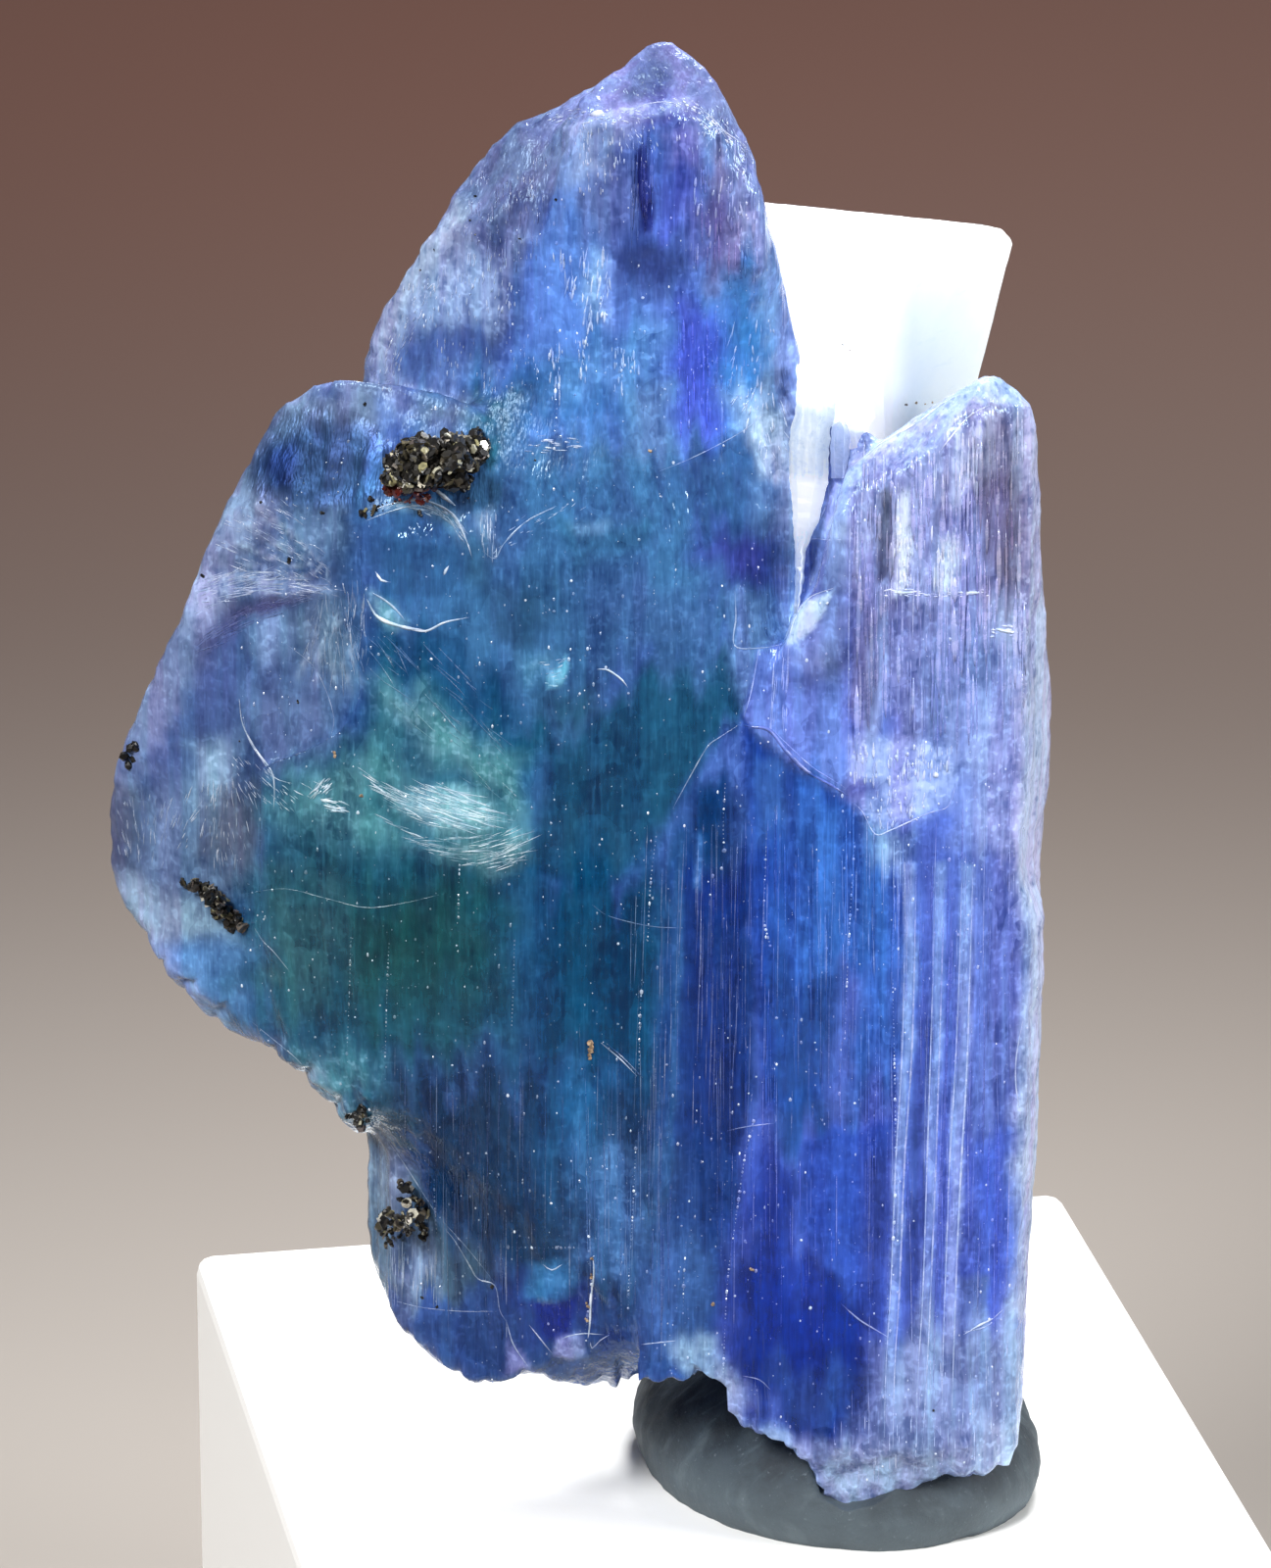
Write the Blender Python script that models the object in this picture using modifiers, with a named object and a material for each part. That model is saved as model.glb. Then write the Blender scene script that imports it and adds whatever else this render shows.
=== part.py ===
"""A tanzanite crystal specimen: striated zoisite blades grown together, with a calcite rhomb
in the notch behind them and graphite grains in their skin. It stands on a dab of putty on a
small white block.

Lengths are written in millimetres and multiplied by MM. The row's origin is the middle of the
block's underside. The specimen has a frame of its own, whose zero is just above the block's
top, below the middle of the crystal, with +X to the right, +Y to the back and +Z upwards.
"""

import math
import random

import bmesh
import bpy
from mathutils import Matrix, Vector, noise

MM = 0.001

# The block and the putty
BLOCK_SIDE = 11.6
BLOCK_HEIGHT = 7.0
BLOCK_YAW_DEG = 10.5
BLOCK_EDGE_ROUND = 0.22
PUTTY_RADII = (2.55, 2.8, 1.3)
PUTTY_CENTRE = (2.5, 0.85, 0.1)
PUTTY_LUMP_HEIGHT = 0.07
PUTTY_LUMPS = 1.7
PUTTY_LUMP_SHIFT = (3.0, 1.0, 7.0)
# The putty left below the crystal's lowest tip
PUTTY_FILM = 0.12

# Gaps that keep neighbouring solids apart
CONTACT_GAP = 0.3
GRAIN_GAP = 0.15

SPECIMEN_PLACE = (-1.0, -3.1, BLOCK_HEIGHT + CONTACT_GAP)

# The growth lines on the prism faces
RIBS_PER_MM = 2.6
GROOVE_DEPTH = 0.11
STRIATION_SEED = 17

# The outlines are drawn as they look from this far above, so the slabs cut from them sink
# towards the back by the same angle
OUTLINE_TILT_DEG = 20.0

# How far the striated columns run past the outlines that trim them
COLUMN_BOTTOM = -1.0
COLUMN_TOP = 20.0
CUTTER_SIDE = 40.0

# Each blade has the outline that it shows from the front, as (x, z), the depth at which it is
# drawn, its depth from front to back, and the corners of its section seen from above,
# anticlockwise, as (x, y).
BLADES = {
    "rind": {
        "outline": [
            (-4.12, 13.96), (-4.57, 13.18), (-5.08, 11.89), (-5.65, 10.6), (-5.96, 9.69),
            (-6.13, 8.99), (-6.16, 8.41), (-6.03, 7.82), (-5.68, 7.36), (-5.29, 6.83),
            (-4.88, 6.38), (-4.06, 5.96), (-3.3, 5.3), (-1.0, 5.2), (0.4, 6.0),
            (0.4, 13.4), (-2.6, 14.1), (-3.11, 14.17), (-3.64, 14.26),
        ],
        "drawn_at": -1.0,
        "depth": (-1.6, 2.5),
        "section": [
            (-6.3, 0.1), (-5.2, -0.75), (-3.6, -1.35), (-2.6, -1.6), (0.5, -1.6),
            (0.5, 2.4), (-2.8, 2.5), (-4.8, 1.9), (-6.0, 1.0),
        ],
    },
    "lobe": {
        "outline": [
            (-3.3, 6.6), (-3.18, 4.81), (-3.2, 3.74), (-3.11, 3.1), (-2.85, 2.5),
            (-2.45, 2.07), (-1.84, 1.75), (-1.21, 1.93), (-0.69, 1.74), (0.4, 1.9),
            (0.4, 7.0), (-2.4, 7.4),
        ],
        "drawn_at": -1.0,
        "depth": (-1.5, 2.1),
        "section": [
            (-3.4, 0.2), (-2.9, -0.8), (-2.0, -1.35), (-0.9, -1.5), (0.5, -1.5),
            (0.5, 2.0), (-2.3, 2.1), (-3.1, 1.3),
        ],
    },
    "plate": {
        "outline": [
            (-4.65, 8.9), (-4.6, 7.8), (-4.0, 6.2), (-3.87, 5.95), (-3.5, 5.6),
            (-2.65, 4.7), (-2.3, 3.95), (-1.72, 2.95), (-1.3, 2.2), (-0.7, 1.95),
            (-0.15, 1.82), (0.3, 1.95), (0.93, 1.83), (1.5, 5.3), (1.6, 10.0),
            (1.85, 11.3), (1.85, 14.15), (1.0, 13.85), (0.3, 13.5), (-0.2, 13.95),
            (-2.2, 14.1), (-3.15, 13.6),
            (-3.2, 10.6), (-3.45, 10.2), (-4.5, 9.8),
        ],
        "drawn_at": -1.7,
        "depth": (-2.0, 2.6),
        "section": [
            (-4.7, -0.6), (-4.4, -1.45), (-3.2, -1.9), (-0.4, -1.98), (0.7, -1.8),
            (1.25, -1.25), (1.9, -1.0), (1.95, 1.6), (0.2, 2.6), (-2.4, 2.5),
        ],
    },
    "peak": {
        "outline": [
            (0.38, 18.36), (0.13, 18.31), (-0.54, 17.86), (-0.84, 17.42), (-1.0, 16.15),
            (-1.55, 15.0), (-1.9, 13.8), (-1.9, 10.0), (1.5, 10.0), (1.82, 11.32),
            (1.83, 13.7), (1.89, 14.58), (1.83, 14.81), (1.7, 15.43), (1.54, 16.04),
            (1.45, 16.56), (1.28, 17.08), (1.04, 17.61), (0.74, 18.09),
        ],
        "drawn_at": -1.0,
        "depth": (-1.6, 1.5),
        "section": [
            (-2.0, -0.7), (-1.1, -1.35), (0.5, -1.58), (1.5, -1.3), (2.0, -0.4),
            (1.7, 1.2), (-0.3, 1.5), (-1.8, 1.1),
        ],
    },
    "shoulder": {
        "outline": [
            (-0.54, 17.75), (-1.16, 17.28), (-1.64, 16.94), (-2.0, 16.57), (-2.43, 15.8),
            (-2.77, 15.19), (-2.96, 14.9), (-3.06, 14.46), (-3.2, 14.0), (-3.2, 12.0),
            (0.6, 12.0), (0.6, 17.2),
        ],
        "drawn_at": -0.5,
        "depth": (-1.1, 1.9),
        "section": [
            (-3.3, 0.2), (-2.7, -0.5), (-1.3, -1.05), (0.7, -1.0), (0.7, 1.7),
            (-1.6, 1.85), (-3.0, 1.3),
        ],
    },
    "right_blade": {
        "outline": [
            (2.43, 13.39), (2.1, 11.97), (1.75, 11.31), (1.2, 10.2), (0.9, 7.5),
            (1.4, 5.5), (0.93, 1.86), (0.99, 1.6), (1.42, 1.35), (1.77, 1.19),
            (2.07, 0.87), (2.22, 0.47), (2.51, 0.34), (2.89, 0.45), (3.3, 0.68),
            (3.68, 0.83), (4.12, 0.81), (4.59, 1.06), (4.67, 1.6), (4.72, 4.14),
            (4.72, 8.0), (4.88, 8.5), (4.92, 9.57), (4.9, 10.77), (4.76, 11.6),
            (4.66, 12.44), (4.6, 13.97), (4.4, 14.36), (4.09, 14.55), (3.76, 14.37),
            (3.15, 13.97), (2.62, 13.55),
        ],
        "drawn_at": -1.5,
        "depth": (-1.8, 2.4),
        "section": [
            (0.85, -1.2), (1.5, -1.5), (2.4, -1.75), (3.95, -1.75), (4.6, -1.2),
            (5.0, 0.2), (4.9, 1.5), (3.7, 2.35), (1.4, 2.2), (0.85, 1.0),
        ],
    },
}

# Faces that trim a blade: a point on each face and its outward direction
TRIMS = {
    "rind": [
        ((-4.6, -0.6, 12.9), (-0.75, -0.5, 0.45)),
        ((-5.6, -0.7, 7.3), (-0.62, -0.55, -0.56)),
        ((-5.0, 1.6, 11.5), (-0.55, 0.75, 0.37)),
        ((-5.2, 1.5, 6.4), (-0.5, 0.68, -0.53)),
    ],
    "lobe": [
        ((-2.9, -1.2, 2.6), (-0.5, -0.7, -0.5)),
        ((-1.6, -1.4, 2.1), (0.1, -0.75, -0.66)),
        ((-2.4, 1.5, 2.2), (-0.35, 0.7, -0.62)),
    ],
    "plate": [
        ((-4.2, -1.6, 6.7), (-0.55, -0.6, -0.58)),
        ((-2.6, -1.75, 13.6), (-0.35, -0.7, 0.62)),
        ((0.0, -1.85, 13.75), (0.0, -0.62, 0.78)),
        ((0.0, 1.9, 2.2), (0.1, 0.66, -0.74)),
    ],
    "peak": [
        ((0.3, -1.55, 17.4), (-0.05, -0.72, 0.69)),
        ((1.3, -1.25, 16.7), (0.72, -0.62, 0.32)),
        ((0.4, 0.2, 17.9), (0.1, 0.7, 0.7)),
        ((-0.9, -1.25, 16.9), (-0.8, -0.5, 0.35)),
    ],
    "shoulder": [
        ((-2.1, -0.75, 15.9), (-0.55, -0.62, 0.56)),
        ((-2.2, 1.2, 16.0), (-0.5, 0.6, 0.62)),
    ],
    "right_blade": [
        ((3.1, -1.7, 13.5), (-0.5, -0.55, 0.67)),
        ((4.5, -1.4, 13.8), (0.6, -0.6, 0.53)),
        ((3.9, 1.2, 13.6), (0.2, 0.6, 0.77)),
        ((4.3, 1.9, 1.2), (0.3, 0.75, -0.59)),
        ((2.8, -1.75, 1.25), (0.0, -0.87, -0.5)),
        ((3.0, -1.3, 0.27), (0.0, 0.32, -0.95)),
        ((2.3, 2.2, 12.0), (-0.45, 0.7, 0.55)),
    ],
}

# Shell-shaped fracture scars: centre, radii and the turn about Y in degrees
SCARS = [
    ((-2.5, -2.35, 12.2), (0.66, 0.8, 0.74), 0.0),
    ((-4.0, -1.95, 12.9), (0.95, 0.75, 0.7), 20.0),
    ((-4.6, -1.75, 10.9), (1.1, 0.8, 1.3), -25.0),
    ((-5.75, -1.2, 8.7), (0.75, 0.75, 1.15), 10.0),
    ((-3.8, -2.3, 9.5), (0.75, 0.62, 0.5), 35.0),
    ((-4.9, -1.6, 7.0), (0.8, 0.7, 0.75), 0.0),
    ((3.15, -2.3, 9.3), (0.62, 0.8, 0.55), 0.0),
    ((-0.5, -2.62, 9.2), (1.5, 0.85, 0.6), -30.0),
    ((-2.5, -0.9, 14.7), (0.45, 0.4, 0.8), -20.0),
    ((-4.6, 2.9, 10.5), (1.6, 1.3, 2.2), 15.0),
    ((-0.6, 3.7, 6.0), (2.3, 1.4, 2.6), 0.0),
    ((3.4, 3.2, 5.2), (1.1, 1.1, 2.0), 0.0),
    ((-2.2, 2.4, 15.4), (1.0, 1.0, 1.6), -30.0),
]

SCAR_DETAIL = 2

# Slim prisms that stand in the notch: centre (x, y), radius, bottom, top and sides
NOTCH_PRISMS = [
    ((2.1, -0.55), 0.31, 10.8, 14.05, 6),
    ((2.52, -0.8), 0.2, 11.6, 13.65, 8),
    ((2.42, -0.2), 0.24, 11.2, 13.3, 6),
]

# Rounded ends of slim prisms along the broken foot: centre (x, y), radius, bottom and top
FOOT_PRISMS = [
    ((0.2, -1.72), 0.2, 1.82, 3.4),
    ((0.52, -1.66), 0.17, 1.76, 3.6),
    ((0.78, -1.5), 0.14, 1.84, 3.2),
]
FOOT_PRISM_SIDES = 8

# The calcite: the corner that points at the viewer, the three edges that leave it, and faces
# that bound the rest of it, each as a point and its outward direction
CALCITE_CORNER = (2.85, 0.8, 14.6)
CALCITE_EDGES = ((0.62, 0.5, 0.6), (-0.6, 0.3, 0.74), (0.05, 0.4, -0.92))
CALCITE_SIDES = [
    ((2.9, 2.2, 15.33), (0.07, 0.5, 0.86)),
    ((4.42, 1.5, 15.2), (0.97, -0.1, -0.22)),
    ((0.9, 2.0, 14.0), (-1.0, 0.1, 0.0)),
    ((2.8, 4.3, 13.5), (0.1, 1.0, 0.12)),
    ((2.8, 2.5, 10.9), (-0.1, 0.45, -0.89)),
    ((1.5, 3.6, 12.0), (-0.6, 0.55, -0.58)),
    ((4.1, 3.6, 13.6), (0.75, 0.62, 0.2)),
]
CALCITE_MIDDLE = (2.8, 2.8, 13.4)
CALCITE_BOX_SIDE = 7.0
CALCITE_EDGE_ROUND = 0.09

# Graphite: name, centre, the size of the cluster and how many grains it has
GRAPHITE = [
    ("graphite_upper", (-2.3, -1.85, 13.55), (0.62, 0.4, 0.48), 7),
    ("graphite_left", (-5.0, -1.1, 8.05), (0.45, 0.22, 0.34), 4),
    ("graphite_lower", (-2.75, -1.3, 4.1), (0.34, 0.28, 0.4), 5),
    ("graphite_bead", (-3.2, -1.75, 5.52), (0.2, 0.16, 0.2), 2),
]
GRAPHITE_SEED = 5
GRAIN_POINTS = 16
FIRST_GRAIN_REACH = 0.72
GRAIN_REACH = (0.42, 0.62)
GRAIN_SPREAD = 0.55

# Colours, roughness and metallic value of each material
FINISHES = {
    "tanzanite": ((0.12, 0.2, 0.72), 0.12, 0.0),
    "calcite": ((0.92, 0.93, 0.95), 0.3, 0.0),
    "graphite": ((0.06, 0.055, 0.05), 0.4, 0.6),
    "putty": ((0.1, 0.11, 0.12), 0.7, 0.0),
    "block": ((0.93, 0.93, 0.92), 0.4, 0.0),
}


def clear_scene():
    for old in list(bpy.data.objects):
        bpy.data.objects.remove(old, do_unlink=True)


def make_collection(name):
    made = bpy.data.collections.new(name)
    bpy.context.scene.collection.children.link(made)
    return made


def make_material(name):
    colour, roughness, metallic = FINISHES[name]
    material = bpy.data.materials.new(name)
    material.use_nodes = True
    shader = material.node_tree.nodes["Principled BSDF"]
    shader.inputs["Base Color"].default_value = (*colour, 1.0)
    shader.inputs["Roughness"].default_value = roughness
    shader.inputs["Metallic"].default_value = metallic
    return material


def new_object(name, mesh, collection):
    made = bpy.data.objects.new(name, mesh)
    collection.objects.link(made)
    return made


def adopt_primitive(name, cutters):
    """The primitive that was just added, named and moved to the cutters, drawn as wire."""
    made = bpy.context.active_object
    for owner in list(made.users_collection):
        owner.objects.unlink(made)
    cutters.objects.link(made)
    made.name = name
    made.display_type = "WIRE"
    made.hide_render = True
    return made


def plain_mesh(source):
    """The evaluated shape of an object as a welded mesh, with the object's place applied."""
    bpy.context.view_layer.update()
    evaluated = source.evaluated_get(bpy.context.evaluated_depsgraph_get())
    mesh = bpy.data.meshes.new_from_object(evaluated)
    mesh.transform(source.matrix_world)
    work = bmesh.new()
    work.from_mesh(mesh)
    bmesh.ops.remove_doubles(work, verts=work.verts, dist=0.0005 * MM)
    bmesh.ops.recalc_face_normals(work, faces=work.faces)
    work.to_mesh(mesh)
    work.free()
    return mesh


def flat_outline(name, points, thickness, turn, place, collection):
    """A closed outline filled as a plate of the given thickness, turned and put in place."""
    curve = bpy.data.curves.new(name, "CURVE")
    curve.dimensions = "2D"
    curve.fill_mode = "BOTH"
    curve.extrude = thickness * MM / 2
    spline = curve.splines.new("POLY")
    spline.points.add(len(points) - 1)
    for point, (across, along) in zip(spline.points, points):
        point.co = (across * MM, along * MM, 0.0, 1.0)
    spline.use_cyclic_u = True
    plate = new_object(name, curve, collection)
    plate.matrix_world = Matrix.Translation(Vector(place) * MM) @ turn
    solid = new_object(name + "_solid", plain_mesh(plate), collection)
    bpy.data.objects.remove(plate)
    bpy.data.curves.remove(curve)
    return solid


def front_slab(name, collection):
    """A blade's outline seen from the front, as a slab that sinks towards the back."""
    blade = BLADES[name]
    front, back = blade["depth"]
    upright = Matrix.Rotation(math.radians(90.0), 4, "X")
    middle = (0, (front + back) / 2, 0)
    slab = flat_outline(name + "_slab", blade["outline"], back - front, upright, middle, collection)
    sink = math.tan(math.radians(OUTLINE_TILT_DEG))
    shear = Matrix.Identity(4)
    shear[2][1] = -sink
    shear[2][3] = sink * blade["drawn_at"] * MM
    slab.data.transform(shear)
    return slab


def striated(corners, seed):
    """The section's corners with ribs and grooves between them, as growth lines on a prism."""
    draw = random.Random(seed)
    ribbed = []
    for start, end in zip(corners, corners[1:] + corners[:1]):
        along = Vector(end) - Vector(start)
        inward = Vector((-along.y, along.x)).normalized()
        ribs = max(1, round(along.length * RIBS_PER_MM))
        ribbed.append(tuple(start))
        for rib in range(ribs):
            groove_at = (rib + draw.uniform(0.3, 0.7)) / ribs
            sunk = inward * GROOVE_DEPTH * draw.uniform(0.25, 1.0)
            ribbed.append(tuple(Vector(start) + along * groove_at + sunk))
            if rib < ribs - 1:
                crest_at = (rib + draw.uniform(0.9, 1.1)) / ribs
                sunk = inward * GROOVE_DEPTH * draw.uniform(-0.1, 0.35)
                ribbed.append(tuple(Vector(start) + along * crest_at + sunk))
    return ribbed


def upright_column(name, section, collection):
    height = COLUMN_TOP - COLUMN_BOTTOM
    middle = (0, 0, (COLUMN_TOP + COLUMN_BOTTOM) / 2)
    return flat_outline(name, section, height, Matrix.Identity(4), middle, collection)


def boolean(target, other, operation):
    """Joins, cuts or trims the target with the other solid, which is used up."""
    modifier = target.modifiers.new(operation.lower(), "BOOLEAN")
    modifier.operation = operation
    modifier.solver = "EXACT"
    modifier.object = other
    mesh = plain_mesh(target)
    target.modifiers.remove(modifier)
    target.data = mesh
    target.matrix_world = Matrix.Identity(4)
    bpy.data.objects.remove(other)


def half_space(point, outward, collection):
    """A large box whose near face passes through the point, on the side that outward shows."""
    bpy.ops.mesh.primitive_cube_add(size=CUTTER_SIDE * MM)
    box = adopt_primitive("half_space", collection)
    direction = Vector(outward).normalized()
    box.rotation_mode = "QUATERNION"
    box.rotation_quaternion = direction.to_track_quat("Z", "Y")
    box.location = (Vector(point) + direction * CUTTER_SIDE / 2) * MM
    return box


def trim(target, faces, collection):
    for point, outward in faces:
        boolean(target, half_space(point, outward, collection), "DIFFERENCE")


def prism(name, centre, radius, bottom, top, sides, collection):
    """A slim upright prism with regular sides."""
    bpy.ops.mesh.primitive_cylinder_add(
        vertices=sides, radius=radius * MM, depth=(top - bottom) * MM,
        location=Vector((*centre, (top + bottom) / 2)) * MM,
    )
    return adopt_primitive(name, collection)


def ellipsoid(name, centre, radii, turn_deg, collection):
    bpy.ops.mesh.primitive_ico_sphere_add(subdivisions=SCAR_DETAIL, radius=MM)
    ball = adopt_primitive(name, collection)
    stretch = Matrix.Diagonal((*radii, 1.0))
    turn = Matrix.Rotation(math.radians(turn_deg), 4, "Y")
    ball.data.transform(Matrix.Translation(Vector(centre) * MM) @ turn @ stretch)
    return ball


def make_blade(name, section, cutters):
    """An upright column of the given section, cut to the blade's outline and its end faces."""
    blade = upright_column(name + "_column", section, cutters)
    boolean(blade, front_slab(name, cutters), "INTERSECT")
    trim(blade, TRIMS[name], cutters)
    return blade


def make_tanzanite(cutters):
    """The blades grown together, with the slim prisms of the notch and the foot, and scars."""
    crystal = None
    for number, name in enumerate(BLADES):
        ribbed = striated(BLADES[name]["section"], STRIATION_SEED + number)
        blade = make_blade(name, ribbed, cutters)
        if crystal is None:
            crystal = blade
        else:
            boolean(crystal, blade, "UNION")
    for centre, radius, bottom, top, sides in NOTCH_PRISMS:
        boolean(crystal, prism("notch_prism", centre, radius, bottom, top, sides, cutters), "UNION")
    for centre, radius, bottom, top in FOOT_PRISMS:
        foot_prism = prism("foot_prism", centre, radius, bottom, top, FOOT_PRISM_SIDES, cutters)
        boolean(crystal, foot_prism, "UNION")
    for centre, radii, turn_deg in SCARS:
        boolean(crystal, ellipsoid("scar", centre, radii, turn_deg, cutters), "DIFFERENCE")
    return crystal


def make_calcite(clearance, cutters):
    """A box trimmed by the calcite's faces, each moved outwards by the clearance."""
    place = Vector(CALCITE_MIDDLE) * MM
    bpy.ops.mesh.primitive_cube_add(size=CALCITE_BOX_SIDE * MM, location=place)
    crystal = adopt_primitive("calcite", cutters)
    right, left, down = (Vector(edge) for edge in CALCITE_EDGES)
    normals = [right.cross(left), down.cross(right), left.cross(down)]
    faces = [(CALCITE_CORNER, normal) for normal in normals]
    for point, outward in faces + CALCITE_SIDES:
        direction = Vector(outward).normalized()
        moved = Vector(point) + direction * clearance
        boolean(crystal, half_space(moved, direction, cutters), "DIFFERENCE")
    return crystal


def grain_cluster(centre, size, grains, growth, seed, cutters):
    """Angular grains joined in one lump, each the hull of a few points round its own middle."""
    draw = random.Random(seed)
    cluster = None
    for number in range(grains):
        shift = Vector(draw.uniform(-GRAIN_SPREAD, GRAIN_SPREAD) * axis for axis in size)
        middle = Vector(centre) + (shift if number else Vector())
        work = bmesh.new()
        for _ in range(GRAIN_POINTS):
            direction = Vector(draw.gauss(0, 1) for _ in range(3)).normalized()
            reach = draw.uniform(*GRAIN_REACH) if number else FIRST_GRAIN_REACH
            offset = Vector(direction[k] * (size[k] * reach + growth) for k in range(3))
            work.verts.new((middle + offset) * MM)
        bmesh.ops.convex_hull(work, input=work.verts)
        loose = [vert for vert in work.verts if not vert.link_faces]
        bmesh.ops.delete(work, geom=loose, context="VERTS")
        mesh = bpy.data.meshes.new("grain")
        work.to_mesh(mesh)
        work.free()
        grain = new_object("grain", mesh, cutters)
        if cluster is None:
            cluster = grain
        else:
            boolean(cluster, grain, "UNION")
    return cluster


def make_putty(cutters):
    """A pinch of putty pressed flat, lumpy on top, with a bed for the crystal's foot."""
    bpy.ops.mesh.primitive_uv_sphere_add(segments=36, ring_count=18, radius=1.0)
    dab = adopt_primitive("dab", cutters)
    for vert in dab.data.vertices:
        lump = 1.0 + PUTTY_LUMP_HEIGHT * noise.noise(vert.co * PUTTY_LUMPS + Vector(PUTTY_LUMP_SHIFT))
        spread = Vector(vert.co[k] * PUTTY_RADII[k] * lump for k in range(3))
        vert.co = (Vector(PUTTY_CENTRE) + spread) * MM
    trim(dab, [((0, 0, 0), (0, 0, -1))], cutters)
    return dab


def foot_cutter(cutters):
    """The right blade without its ribs, grown by the contact gap, and a film short of the block."""
    foot = make_blade("right_blade", BLADES["right_blade"]["section"], cutters)
    bpy.context.view_layer.update()
    low = Vector(foot.bound_box[0])
    high = Vector(foot.bound_box[6])
    middle = (low + high) / 2
    size = high - low
    growth = 2 * CONTACT_GAP * MM
    grow = Matrix.Diagonal((1 + growth / size.x, 1 + growth / size.y, 1.0, 1.0))
    drop = Matrix.Translation((0, 0, -CONTACT_GAP * MM))
    foot.data.transform(drop @ Matrix.Translation(middle) @ grow @ Matrix.Translation(-middle))
    trim(foot, [((0, 0, PUTTY_FILM), (0, 0, -1))], cutters)
    return foot


def make_block(cutters):
    bpy.ops.mesh.primitive_cube_add(size=1.0)
    block = adopt_primitive("block", cutters)
    block.data.transform(Matrix.Diagonal((BLOCK_SIDE * MM, BLOCK_SIDE * MM, BLOCK_HEIGHT * MM, 1.0)))
    block.location = (0, 0, BLOCK_HEIGHT * MM / 2)
    block.rotation_euler = (0, 0, math.radians(BLOCK_YAW_DEG))
    rounding = block.modifiers.new("rounded_edges", "BEVEL")
    rounding.width = BLOCK_EDGE_ROUND * MM
    rounding.segments = 3
    return block


def finish(solid, name, finish_name, materials, specimen, parts, cutters):
    """Names a solid, gives it its material and moves it from the cutters to the parts."""
    solid.name = name
    solid.data.name = name
    solid.display_type = "TEXTURED"
    solid.hide_render = False
    solid.data.materials.clear()
    solid.data.materials.append(materials[finish_name])
    cutters.objects.unlink(solid)
    parts.objects.link(solid)
    if specimen is not None:
        solid.parent = specimen


def main():
    clear_scene()
    parts = make_collection("tanzanite_specimen")
    cutters = make_collection("cutters")
    materials = {name: make_material(name) for name in FINISHES}
    specimen = bpy.data.objects.new("specimen", None)
    specimen.location = Vector(SPECIMEN_PLACE) * MM
    parts.objects.link(specimen)

    crystal = make_tanzanite(cutters)
    boolean(crystal, make_calcite(CONTACT_GAP, cutters), "DIFFERENCE")
    for number, (name, centre, size, grains) in enumerate(GRAPHITE):
        pocket = grain_cluster(centre, size, grains, GRAIN_GAP, GRAPHITE_SEED + number, cutters)
        boolean(crystal, pocket, "DIFFERENCE")
        cluster = grain_cluster(centre, size, grains, 0.0, GRAPHITE_SEED + number, cutters)
        finish(cluster, name, "graphite", materials, specimen, parts, cutters)

    putty = make_putty(cutters)
    boolean(putty, foot_cutter(cutters), "DIFFERENCE")
    calcite = make_calcite(0.0, cutters)
    rounding = calcite.modifiers.new("rounded_edges", "BEVEL")
    rounding.width = CALCITE_EDGE_ROUND * MM
    rounding.segments = 2

    finish(crystal, "tanzanite_crystal", "tanzanite", materials, specimen, parts, cutters)
    finish(calcite, "calcite_crystal", "calcite", materials, specimen, parts, cutters)
    finish(putty, "mounting_putty", "putty", materials, specimen, parts, cutters)
    finish(make_block(cutters), "display_block", "block", materials, None, parts, cutters)


main()
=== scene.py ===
# %% [markdown]
# # A tanzanite crystal on its display block
#
# The object is a thumbnail mineral specimen, 18 mm tall: blades of blue, teal and violet
# tanzanite grown together, with a white calcite crystal behind them and black graphite grains in
# their skin. A pinch of dark putty holds it on a small white block. The imported CAD model is the
# frame: every piece made here sits on one of its nodes. We load it first.

# %% Load the frame
import math
import random

import bmesh
import bpy
import numpy as np
from mathutils import Matrix, Vector, noise
from mathutils.bvhtree import BVHTree
from mathutils.kdtree import KDTree


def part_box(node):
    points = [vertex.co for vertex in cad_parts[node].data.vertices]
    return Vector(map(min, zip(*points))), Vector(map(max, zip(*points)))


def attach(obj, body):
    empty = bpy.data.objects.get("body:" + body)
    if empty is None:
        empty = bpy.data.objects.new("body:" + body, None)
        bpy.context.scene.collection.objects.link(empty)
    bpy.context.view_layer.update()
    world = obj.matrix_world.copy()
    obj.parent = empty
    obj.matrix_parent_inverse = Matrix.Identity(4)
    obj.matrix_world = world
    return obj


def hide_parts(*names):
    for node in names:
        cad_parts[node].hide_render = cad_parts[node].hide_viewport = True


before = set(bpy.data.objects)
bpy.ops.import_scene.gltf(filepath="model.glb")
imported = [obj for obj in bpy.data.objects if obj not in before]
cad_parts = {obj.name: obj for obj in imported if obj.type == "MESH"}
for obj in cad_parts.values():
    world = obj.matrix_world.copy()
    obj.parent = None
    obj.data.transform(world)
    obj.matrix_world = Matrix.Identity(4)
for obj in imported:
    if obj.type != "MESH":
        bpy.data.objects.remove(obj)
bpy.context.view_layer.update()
MM = 0.001
print("nodes:", sorted(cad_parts))

# %% [markdown]
# ## Places
#
# The crystal was drawn in a frame of its own, with x to the right, y to the back and z up, from
# a zero just above the block's top. Sizes below are written in that frame, in millimetres,
# because they are then easy to compare with the photograph. One function turns such a point into
# a place in the scene.

# %% The specimen's own frame
BLOCK_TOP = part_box("display_block")[1].z
SPECIMEN = Vector((-1.0, -3.1, BLOCK_TOP / MM + 0.3))


def place(x, y, z):
    return (SPECIMEN + Vector((x, y, z))) * MM


print("specimen zero in mm:", tuple(round(value, 2) for value in SPECIMEN))

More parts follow.
